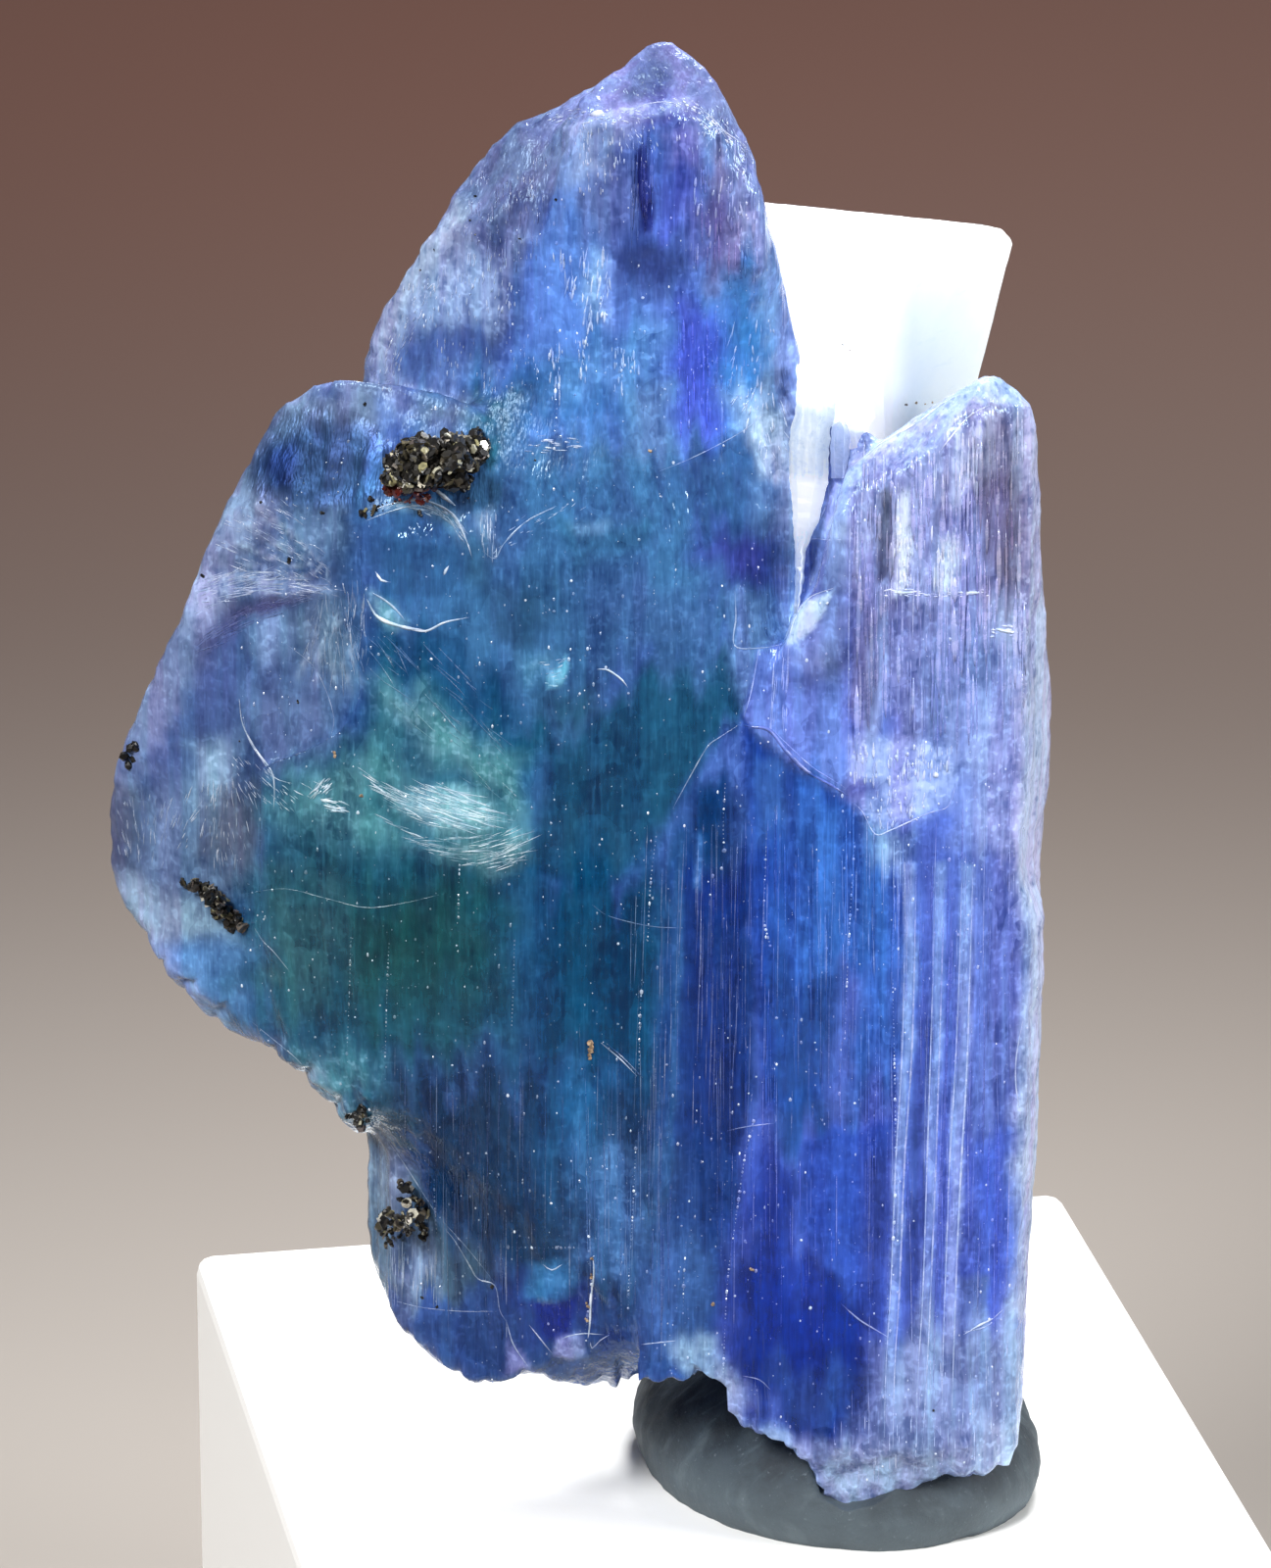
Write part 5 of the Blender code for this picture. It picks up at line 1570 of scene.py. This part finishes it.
# The row colours are partly the prisms' own milky tone and partly painted light: the lower rows are
# whiter, to make up for the shade that falls on them there.
# Front and back depth in mm, then groups: row, left and right column, red, green and blue
NOTCH_PRISMS = table_rows("""
  -1 -0.66 374,846,876,232,234,236 400,846,890,232,234,236 426,846,892,232,234,236
    440,850,884,226,228,234 462,866,880,214,210,232;
  -1.16 -0.7 372,813,848,232,234,236 392,813,852,232,234,236 398,813,852,188,196,202
    425,811,853,190,198,204 438,806,847,196,204,208 484,805,845,204,212,218 492,805,845,255,255,252
    530,808,836,255,255,252 548,810,828,216,222,230 562,811,822,196,206,224 600,811,819,150,172,213
    634,808,815,172,194,232 654,804,808,186,204,240;
  -1.14 -0.72 430,856,862,168,178,200 436,849,866,150,162,190 450,847,868,146,158,188
    470,847,868,134,148,192 488,849,865,128,142,196;
""")
RING_PITCH_PX = 5
PRISM_SEED = 31


def at_depth(column, row, depth):
    """The place that is seen at a pixel, at a depth given in the specimen's frame."""
    ray = look_through(column, row)
    plane = (SPECIMEN.y + depth) * MM
    return camera.location + ray * ((plane - camera.location.y) / ray.y)


def between(rows, row):
    """Linear values at a row, from a list of known rows."""
    known = [stop[0] for stop in rows]
    values = np.array([(left, right, *light_of(*colour)) for _, left, right, *colour in rows])
    return [np.interp(row, known, values[:, k]) for k in range(values.shape[1])]


def loft_prisms(rng):
    corners, faces, tints = [], [], []
    for (front_depth, back_depth), rows in NOTCH_PRISMS:
        steps = int((rows[-1][0] - rows[0][0]) / RING_PITCH_PX)
        first = len(corners)
        for row in np.linspace(rows[0][0], rows[-1][0], steps + 1):
            left, right, *tint = between(rows, row)
            for across, inward in SECTION:
                column = left + across * (right - left) + rng.gauss(0, 0.5)
                depth = front_depth + inward * (back_depth - front_depth) + rng.gauss(0, 0.006)
                corners.append(at_depth(column, row, depth))
                tints.append(tint)
        sides = len(SECTION)
        for ring in range(steps):
            a = first + sides * ring
            for k in range(sides):
                faces.append((a + k, a + (k + 1) % sides, a + sides + (k + 1) % sides, a + sides + k))
        faces.append(tuple(range(first, first + sides)))
        faces.append(tuple(range(first + sides * steps, first + sides * (steps + 1))))
    return tinted_piece("notch_prisms", corners, [], faces, tints)


prisms = loft_prisms(random.Random(PRISM_SEED))
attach(prisms, "root")
print("prisms:", len(prisms.data.polygons), "faces")

# %% Lumps
work = bmesh.new()
bmesh.ops.create_icosphere(work, subdivisions=1, radius=1.0)
BALL_CORNERS = [vertex.co.copy() for vertex in work.verts]
work.free()


def lump(work, centre, size, rng):
    """One lump: a twelve-cornered ball with uneven corners, squeezed and turned. Size in mm."""
    axis = Vector([rng.gauss(0, 1) for _ in range(3)]).normalized()
    turn = Matrix.Rotation(rng.uniform(0, math.tau), 3, axis)
    squeeze = [rng.uniform(0.6, 1.0) for _ in range(3)]
    made = []
    for corner in BALL_CORNERS:
        spot = corner * (0.5 * rng.uniform(0.8, 1.08))
        spot = turn @ Vector([a * b for a, b in zip(spot, squeeze)])
        made.append(work.verts.new(centre + spot * size * MM))
    bmesh.ops.convex_hull(work, input=made)


def link_work(work, name):
    """Turns the collected shapes into a piece."""
    loose = [vertex for vertex in work.verts if not vertex.link_faces]
    bmesh.ops.delete(work, geom=loose, context="VERTS")
    bmesh.ops.recalc_face_normals(work, faces=work.faces)
    return piece_of(work, name)


print("a lump has", len(BALL_CORNERS), "corners at most")

# %% [markdown]
# ## Graphite
#
# The black grains in the skin are graphite: stacks of soft, shiny, six-sided plates, black from
# one side and flashing grey, olive or golden from another. Each cluster begins as a heap of
# angular lumps inside its outline in the photograph, half sunk into the skin where its solid
# sits. Geometry Nodes then cover the heap with small plates, each tilted off the surface, and
# give every plate a random number that the material turns into its own colour, from black to
# near white. The golden and near-white plates are painted glints.

# %% Heaps of lumps
# For each CAD node: a number of lumps, their least and most size in mm, how far the heap stands
# out of the skin in mm, and its outline in the photograph
GRAPHITE_HEAPS = {
    "graphite_upper": table_rows("""
    130 0.14 0.3 0.3 394,487 400,458 414,458 420,452 452,449 464,447 492,439 493,458 487,472 485,488
      476,496 462,494 450,491 430,496 400,504;
    34 0.025 0.055 0.02 368,530 370,522 400,511 440,504 442,508 404,517 374,530;
    """),
    "graphite_left": table_rows("""
    46 0.06 0.12 0.12 205,903 213,902 250,940 244,951 232,944 216,928;
    12 0.05 0.09 0.06 186,902 198,895 204,902 198,908;
    """),
    "graphite_lower": table_rows("""
    34 0.06 0.12 0.15 384,1251 390,1236 404,1237 412,1250 408,1266 404,1273 392,1268;
    50 0.05 0.1 0.15 405,1207 419,1209 427,1222 440,1251 432,1266 412,1260 408,1226;
    """),
    "graphite_bead": table_rows("""
    22 0.05 0.1 0.08 355,1144 359,1133 372,1132 377,1146 370,1150;
    """),
}
HEAP_SEED = 41
node_skins = {name: skin_tree(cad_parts[name]) for name in GRAPHITE_HEAPS}


def make_heap(node, rng):
    """Heaps lumps between the crystal's skin and the skin of the node's own solid."""
    work = bmesh.new()
    for (count, smallest, largest, height), outline in GRAPHITE_HEAPS[node]:
        for _ in range(int(count)):
            column, row = pixel_in(outline, rng)
            low, high = skin(crystal_skin, column, row)[0], skin(node_skins[node], column, row)[0]
            if low is None and high is None:
                continue
            spot = (low or high).lerp(high or low, rng.uniform(0.1, 0.9))
            edge_px = line_distance(np.array([column]), np.array([row]), outline + outline[:1])[0]
            size = rng.uniform(smallest, largest)
            out = rng.uniform(-0.1, 1.0) * height * min(1.0, 0.35 + edge_px / 16)
            lump(work, spot - look_through(column, row) * out * MM, size, rng)
    return link_work(work, node + "_grains")


heaps = {}
for k, node in enumerate(GRAPHITE_HEAPS):
    heaps[node] = make_heap(node, random.Random(HEAP_SEED + k))
print("heaps:", {node: len(heap.data.polygons) for node, heap in heaps.items()})

# %% Plates on the heaps
PLATE_INPUTS = {"Density": 150.0 / MM ** 2, "Smallest": 0.03 * MM, "Largest": 0.085 * MM, "Tilt": 0.55}
PLATE_THICKNESS = 0.42
PLATE_SHAPE = ((0.7, 0.5, 0.5), (1.2, 1.0, 1.3))
HALF_TURN = 3.14
PLATE_SEED = 61


def plate_tree():
    """Six-sided plates, each turned and tilted at random, all over a heap."""
    kinds = [(name, "Float") for name in PLATE_INPUTS] + [("Seed", "Int"), ("Finish", "Material")]
    tree, graph, inputs = start_tree("graphite_plates", kinds)
    spots = spots_on_faces(graph, inputs)
    facing = Value(graph, spots.socket.node.outputs["Rotation"])
    sockets = {"Vertices": 6, "Radius": 1.0, "Depth": PLATE_THICKNESS}
    plate = graph.node("GeometryNodeMeshCylinder", {"fill_type": "NGON"}, sockets)
    tilt, seed = inputs["Tilt"], inputs["Seed"]
    low = graph.node("ShaderNodeCombineXYZ", None, {0: tilt * -1.0, 1: tilt * -1.0, 2: -HALF_TURN})
    high = graph.node("ShaderNodeCombineXYZ", None, {0: tilt, 1: tilt, 2: HALF_TURN})
    angles = graph.random(low, high, seed, vector=True)
    turn = graph.node("FunctionNodeEulerToRotation", None, {0: angles})
    turned = graph.node("FunctionNodeRotateRotation", {"rotation_space": "LOCAL"}, {0: facing, 1: turn})
    size = graph.random(inputs["Smallest"], inputs["Largest"], seed + 3.0)
    scale = graph.vector("SCALE", {0: graph.random(*PLATE_SHAPE, seed, vector=True), "Scale": size})
    shade = graph.random(0.0, 1.0, seed + 9.0)
    real = on_spots(graph, spots, plate, {"Rotation": turned, "Scale": scale}, "shade", shade)
    both = graph.node("GeometryNodeJoinGeometry", None, {"Geometry": real})
    tree.links.new(inputs["Geometry"].socket, both.socket.node.inputs["Geometry"])
    finish_tree(graph, inputs, both)
    return tree


STAIN_PIXEL = (416, 500)


def graphite_material():
    """Black, olive and grey plates, with golden and near-white ones as painted glints, and a rust-red
    stain low on the upper cluster.
    """
    material, graph = new_material("graphite")
    point, _ = specimen_point(graph)
    shade = graph.attribute("shade", out=2)
    # The golden and near-white stops at the top of the ramp are painted glints
    tone = graph.node("ShaderNodeValToRGB", {"stops": [
        (0.0, (16, 15, 14)), (0.42, (38, 35, 31)), (0.6, (78, 72, 50)),
        (0.76, (104, 94, 92)), (0.9, (172, 166, 122)), (0.98, (236, 234, 220)),
    ]}, {0: shade})
    stain = skin(crystal_skin, *STAIN_PIXEL)[0] / MM - SPECIMEN
    offset = graph.vector("SUBTRACT", {0: point, 1: tuple(stain)})
    reach = graph.vector("LENGTH", {0: graph.scaled(offset, (1.0, 0.6, 2.4))}, out=1)
    grain = graph.noise(point, 9.0, detail=3.0, roughness=0.7)
    red = (1 - graph.smooth(reach + grain * 0.15, 0.4, 0.58)) * 0.95
    tone = graph.blend(red, tone, linear(96, 22, 12))
    tone = graph.blend(graph.smooth(grain, 0.3, 0.6), graph.tinted(tone, (0.45, 0.45, 0.5)), tone)
    return finished(material, graph, {
        "Base Color": tone, "Roughness": 0.2 + grain * 0.35, "Metallic": 0.35, "Specular IOR Level": 0.8,
        "Normal": graph.bump(grain, 0.5, 0.00001),
    })


graphite_finish = graphite_material()
plates = plate_tree()
for k, (node, heap) in enumerate(heaps.items()):
    run_tree(heap, plates, {**PLATE_INPUTS, "Seed": PLATE_SEED + k, "Finish": graphite_finish})
    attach(heap, "root")
    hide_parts(node)
    print(node, "has", len(heap.data.polygons), "faces")

# %% [markdown]
# ## Loose flecks
#
# Smaller grains of graphite and a few rusty ones are dotted over the crystal and the calcite.
# Each is three lumps close together, set on whichever surface the photograph shows at its pixel.

# %% Flecks
# Column, row, width and height in pixels
BLACK_FLECKS = table_rows("""
  136,765 24 18; 133,776 24 20; 208,588 8 5; 266,513 4 4; 295,573 8 9; 303,715 4 8; 372,412 6 5; 380,509
  9 8; 567,204 4 5; 503,1313 6 8; 430,1324 9 5; 546,470 4 3; 485,201 4 4; 485,239 3 3; 429,276 4 3;
  443,255 3 3; 869,426 4 4; 874,432 4 3; 480,225 3 3; 531,244 4 3; 952,1440 3 5; 328,524 9 4; 244,756 3
  3; 446,1334 6 3; 478,508 4 3; 428,524 9 8;
""")
RUST_FLECKS = table_rows("""
  342,770 5 8; 369,812 4 7; 604,1284 4 5; 603,1302 4 8; 600,1332 5 9; 598,1346 5 7; 924,413 5 4; 934,411
  5 4; 944,412 4 3; 951,410 4 3; 868,357 4 2; 860,352 4 2; 862,378 6 2; 605,1068 9 14; 602,1078 6 8;
  767,1294 5 7; 664,460 5 5; 728,1330 5 9;
""")
LUMPS_PER_FLECK = 3
FLECK_SEEDS = (53, 59)
calcite_skin = skin_tree(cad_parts["calcite_crystal"])


def make_flecks(name, flecks, rng):
    """One piece with every fleck of a table."""
    work = bmesh.new()
    for (width, height), [pixel] in flecks:
        spot = skin(crystal_skin, *pixel)[0] or skin(calcite_skin, *pixel)[0]
        for _ in range(LUMPS_PER_FLECK):
            shift = Vector((rng.uniform(-0.3, 0.3) * width, 0, rng.uniform(-0.3, 0.3) * height))
            size = 0.75 * math.sqrt(width * height) * MM_PER_PX
            lump(work, spot + shift * MM_PER_PX * MM, size, rng)
    return link_work(work, name)


def rust_material():
    """Brown to sandy grains."""
    material, graph = new_material("rust")
    point, _ = specimen_point(graph)
    grain = graph.noise(point, 12.0, detail=3.0)
    tone = graph.blend(graph.smooth(grain, 0.35, 0.65), linear(84, 66, 52), linear(186, 160, 128))
    return finished(material, graph, {"Base Color": tone, "Roughness": 0.3 + grain * 0.3})


black_flecks = make_flecks("graphite_flecks", BLACK_FLECKS, random.Random(FLECK_SEEDS[0]))
black_flecks.data.materials.append(graphite_finish)
rust_flecks = make_flecks("rust_flecks", RUST_FLECKS, random.Random(FLECK_SEEDS[1]))
rust_flecks.data.materials.append(rust_material())
for piece, slot in ((black_flecks, "graphite"), (rust_flecks, "calcite")):
    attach(piece, "root")
print("flecks:", len(black_flecks.data.polygons), "and", len(rust_flecks.data.polygons), "faces")

# %% [markdown]
# ## Calcite
#
# The white crystal behind is a rhomb of calcite, with flat cleavage faces and soft edges. Its
# CAD solid has the right faces; the copy is trimmed to the outline at its top right, gets rounded
# edges, and a relief of very shallow terraces, the steps where thin sheets split off. Milky
# calcite lets light wander inside it, so the material scatters light below the surface; it also
# glows, a painted glow that stands for the light that shines through it from behind. The face on
# the right of the edge between its two front faces has painted shade: a darker colour and a
# greyer glow. The pale prisms of the notch are as milky, so they get the same finish, times the
# tint of their own corners, and their painted glow stands for the light that the calcite behind
# sends through them.

# %% Calcite
SPLIT_LEVELS = 4
SMOOTH_ROUNDS = 4
TERRACE_MM = 0.005
# Strength of the painted glow of the prisms and of the calcite
PRISM_PAINTED_GLOW = 0.55
CALCITE_PAINTED_GLOW = 0.6
# The visible edge between the calcite's two front faces, and lines that trim it, as pixels
CALCITE_EDGE = ((893, 317), (990, 232))
CALCITE_TRIMS = [
    ((785, 207), (1008, 230)), ((1008, 230), (1022, 234)),
    ((1022, 234), (1031, 243)), ((1031, 243), (1034, 256)),
]


def split_copy(node, name):
    """A copy of a CAD node whose flat faces are split into small squares, its edges softened."""
    piece = merged_copy(node, name)
    work = opened(piece.data)
    for left, right in CALCITE_TRIMS:
        outwards = look_through(*right).cross(look_through(*left)).normalized()
        bmesh.ops.bisect_plane(
            work, geom=work.verts[:] + work.edges[:] + work.faces[:], dist=JOIN_DISTANCE,
            plane_co=camera.location, plane_no=outwards, clear_outer=True,
        )
        bmesh.ops.holes_fill(work, edges=[edge for edge in work.edges if edge.is_boundary])
    bmesh.ops.dissolve_limit(work, angle_limit=math.radians(2), verts=work.verts, edges=work.edges)
    work.to_mesh(piece.data)
    work.free()
    split = piece.modifiers.new("split", "SUBSURF")
    split.subdivision_type = "SIMPLE"
    split.levels = SPLIT_LEVELS
    take_modifiers(piece)
    spots = points_of(piece.data)
    pairs = edges_of(piece.data)
    shares = np.bincount(pairs.ravel(), minlength=len(spots))
    for _ in range(SMOOTH_ROUNDS):
        for axis in range(3):
            spots[:, axis] = mean_of_neighbours(spots[:, axis], pairs, shares)
    move_points(piece.data, spots)
    return piece


def calcite_material(name, own_tint):
    """Milky calcite with a painted glow. With its own tint it is a prism's, and without it one face
    gets painted shade.
    """
    material, graph = new_material(name)
    point, parts = specimen_point(graph)
    clouds = graph.noise(point, 1.1, detail=5.0, roughness=0.6)
    grit = graph.noise(point, 9.0, detail=3.0, roughness=0.7)
    veils = graph.noise(graph.scaled(point, (1.0, 1.0, 3.0)), 2.4, detail=3.0)
    colour = graph.blend(graph.smooth(clouds, 0.4, 0.7), linear(255, 255, 255), linear(246, 249, 253))
    colour = graph.blend(graph.smooth(veils, 0.6, 0.75) * 0.5, colour, linear(232, 240, 248))
    if own_tint:
        colour = graph.multiplied(colour, graph.attribute("tint"))
        threads = graph.noise(graph.scaled(point, (7.0, 7.0, 0.9)), 1.0, detail=3.0, roughness=0.6)
        darker = graph.tinted(colour, (0.74, 0.8, 0.88))
        colour = graph.blend(graph.smooth(threads, 0.42, 0.6), darker, colour)
        darker = graph.tinted(colour, (0.8, 0.85, 0.92))
        colour = graph.blend(graph.smooth(grit, 0.35, 0.5), darker, colour)
        # A prism's painted glow is its own colour
        lit = colour
    else:
        # Painted shade: the right front face is darker and glows greyer, fading out towards its lower
        # left.
        (x0, y0), (x1, y1) = CALCITE_EDGE
        across = look_through(x1, y1).cross(look_through(x0, y0)).normalized()
        eye = camera.location / MM - SPECIMEN
        aside = graph.vector("DOT_PRODUCT", {0: point, 1: tuple(across)}, out=1)
        shaded = 1 - graph.smooth(aside - across.dot(eye), -0.03, 0.02)
        shaded = shaded * graph.smooth(parts[0], 2.6, 3.3)
        lit = graph.blend(shaded, (1.0, 1.0, 1.0, 1.0), linear(112, 122, 126))
        colour = graph.blend(shaded, colour, graph.tinted(colour, (0.56, 0.62, 0.65)))
    return finished(material, graph, {
        "Base Color": colour, "Roughness": 0.22 + grit * 0.2, "IOR": 1.6, "Subsurface Weight": 1.0,
        "Emission Color": lit, "Emission Strength": PRISM_PAINTED_GLOW if own_tint else CALCITE_PAINTED_GLOW,
        "Subsurface Radius": (1.0, 1.0, 1.0), "Subsurface Scale": 0.004,
        "Normal": graph.bump(grit, 0.3, 0.00001),
    })


calcite = split_copy("calcite_crystal", "calcite")
points = points_of(calcite.data)
sheets = np.round(noise_field(points * (0.5, 0.5, 1.4), 1.0, 5.5) * 4 + points[:, 2] * 0.8) % 2 - 0.5
relief = TERRACE_MM * sheets + 0.003 * noise_field(points, 4.0, 9.1)
move_points(calcite.data, points + directions_of(calcite.data) * relief[:, None])
dress(calcite, calcite_material("calcite", False))
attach(calcite, "root")
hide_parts("calcite_crystal")
prisms.data.materials.append(calcite_material("milky_prism", True))
print("calcite:", len(calcite.data.polygons), "squares")

# %% [markdown]
# ## Putty
#
# The specimen stands in a dab of dark putty, pressed down by hand. It is a round pebble, wider a
# little above the block than on it, built ring by ring. Slow noise makes it lumpy, a finer one
# gives it the drag marks of a fingertip. The blade's foot is pressed into it, so in front it lies
# below the foot's edge, and close to the crystal it is squeezed up in a small lip.

# %% Putty
PUTTY_CENTRE = (2.45, 1.15, 0.1)
PUTTY_RADII = (2.5, 2.6, 1.3)
PUTTY_SKEW = -0.18
PUTTY_FOOT = -0.3
PUTTY_RINGS = 80
PUTTY_SPOKES = 200
LIP_MM = 0.05
LIP_REACH_MM = 0.3
# The lower edge of the right blade, as x and z in mm, that must stay free of putty in front
FOOT_EDGE = [
    (0.9, 1.86), (0.99, 1.6), (1.42, 1.35), (1.77, 1.19), (2.07, 0.87), (2.22, 0.47), (2.51, 0.34),
    (2.89, 0.45), (3.3, 0.68), (3.68, 0.83), (4.12, 0.81), (4.59, 1.06),
]


def putty_points():
    """The pebble's points in the specimen's frame, from its top down to its foot."""
    lowest = math.acos((PUTTY_FOOT - PUTTY_CENTRE[2]) / PUTTY_RADII[2])
    dips = np.linspace(0.0, lowest, PUTTY_RINGS + 1)[1:]
    turns = np.arange(PUTTY_SPOKES) / PUTTY_SPOKES * math.tau
    dip, turn = (grid.ravel() for grid in np.meshgrid(dips, turns, indexing="ij"))
    dip, turn = np.append(0.0, dip), np.append(0.0, turn)
    x = PUTTY_RADII[0] * np.sin(dip) * np.cos(turn)
    y = PUTTY_RADII[1] * np.sin(dip) * np.sin(turn) + PUTTY_SKEW * x
    z = PUTTY_RADII[2] * np.cos(dip)
    ball = np.stack((x, y, z), 1)
    swell = 0.035 * noise_field(ball, 0.8, 12.5) + 0.012 * noise_field(ball * (1, 2.2, 1), 2.4, 12.5)
    swell += 0.004 * noise_field(ball * (1, 3, 1), 7.0, 12.5)
    ball = ball * (1 + swell)[:, None] + np.array(PUTTY_CENTRE)
    bed = np.interp(ball[:, 0], *zip(*FOOT_EDGE)) - 0.1
    in_front = 1 - ease(ball[:, 1], -0.9, 0.2)
    sink = in_front * np.clip(ball[:, 2] - bed, 0, None) * (ball[:, 0] > FOOT_EDGE[0][0] - 0.2)
    ball[:, 2] -= sink
    ball[-PUTTY_SPOKES:, 2] = PUTTY_FOOT
    return ball


def make_putty():
    """Lifts the lip beside the crystal, and joins the points ring by ring."""
    points = putty_points()
    for index, point in enumerate(points[:-PUTTY_SPOKES]):
        _, _, _, away = crystal_skin.find_nearest(place(*point))
        points[index, 2] += LIP_MM * max(0.0, 1 - away / MM / LIP_REACH_MM) ** 2
    work = bmesh.new()
    corners = [work.verts.new(place(*point)) for point in points]
    for k in range(PUTTY_SPOKES):
        after = (k + 1) % PUTTY_SPOKES
        work.faces.new((corners[0], corners[1 + k], corners[1 + after]))
        for ring in range(PUTTY_RINGS - 1):
            a, b = 1 + ring * PUTTY_SPOKES, 1 + (ring + 1) * PUTTY_SPOKES
            work.faces.new((corners[a + k], corners[b + k], corners[b + after], corners[a + after]))
    work.faces.new(corners[-PUTTY_SPOKES:])
    return link_work(work, "putty")


def putty_material():
    """Dark putty with blotches, drag marks and pale grains, and painted light near the block."""
    material, graph = new_material("putty")
    point, parts = specimen_point(graph)
    blotch = graph.noise(point, 1.3, detail=5.0, roughness=0.65)
    grain = graph.noise(point, 14.0, detail=4.0, roughness=0.75)
    streak = graph.noise(graph.scaled(point, (1.0, 3.0, 1.0)), 2.2, detail=3.0)
    colour = graph.blend(graph.smooth(blotch, 0.35, 0.65), linear(28, 36, 44), linear(50, 61, 69))
    colour = graph.blend(graph.smooth(streak, 0.52, 0.7) * 0.4, colour, linear(84, 96, 102))
    colour = graph.blend(graph.smooth(grain, 0.6, 0.75) * 0.35, colour, linear(150, 160, 166))
    # Painted light: lighter low down, as if lit by the white block beside it
    low = 1 - graph.smooth(parts[2], -0.2, 0.8)
    colour = graph.blend(low * 0.4, colour, linear(110, 122, 128))
    return finished(material, graph, {
        "Base Color": colour, "Roughness": 0.55 + grain * 0.25, "Specular IOR Level": 0.35,
        "Normal": graph.bump(grain, 0.6, 0.00003),
    })


putty = make_putty()
dress(putty, putty_material())
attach(putty, "root")
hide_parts("mounting_putty")
print("putty:", len(putty.data.polygons), "faces")

# %% [markdown]
# ## The display block
#
# The block is plain moulded plastic, satin white. Its solid is right as it is, so it keeps its
# mesh and only gets a finish: a white with the faintest warmth, a fine orange-peel bump, and a
# little dust.

# %% Block finish
def block_material():
    """Satin white plastic with a little dust."""
    material, graph = new_material("block")
    point, _ = specimen_point(graph)
    peel = graph.noise(point, 3.0, detail=3.0)
    dust = graph.noise(point, 7.0, detail=4.0, roughness=0.75)
    dusty = graph.smooth(dust, 0.66, 0.8) * 0.3
    colour = graph.blend(dusty, linear(246, 246, 244), linear(206, 206, 204))
    return finished(material, graph, {
        "Base Color": colour, "Roughness": 0.32 + dust * 0.15, "Specular IOR Level": 0.4,
        "Normal": graph.bump(peel, 0.15, 0.00004),
    })


block_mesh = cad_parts["display_block"].data
block_mesh.materials.clear()
block_mesh.materials.append(block_material())
print("block finish on", len(block_mesh.polygons), "faces")
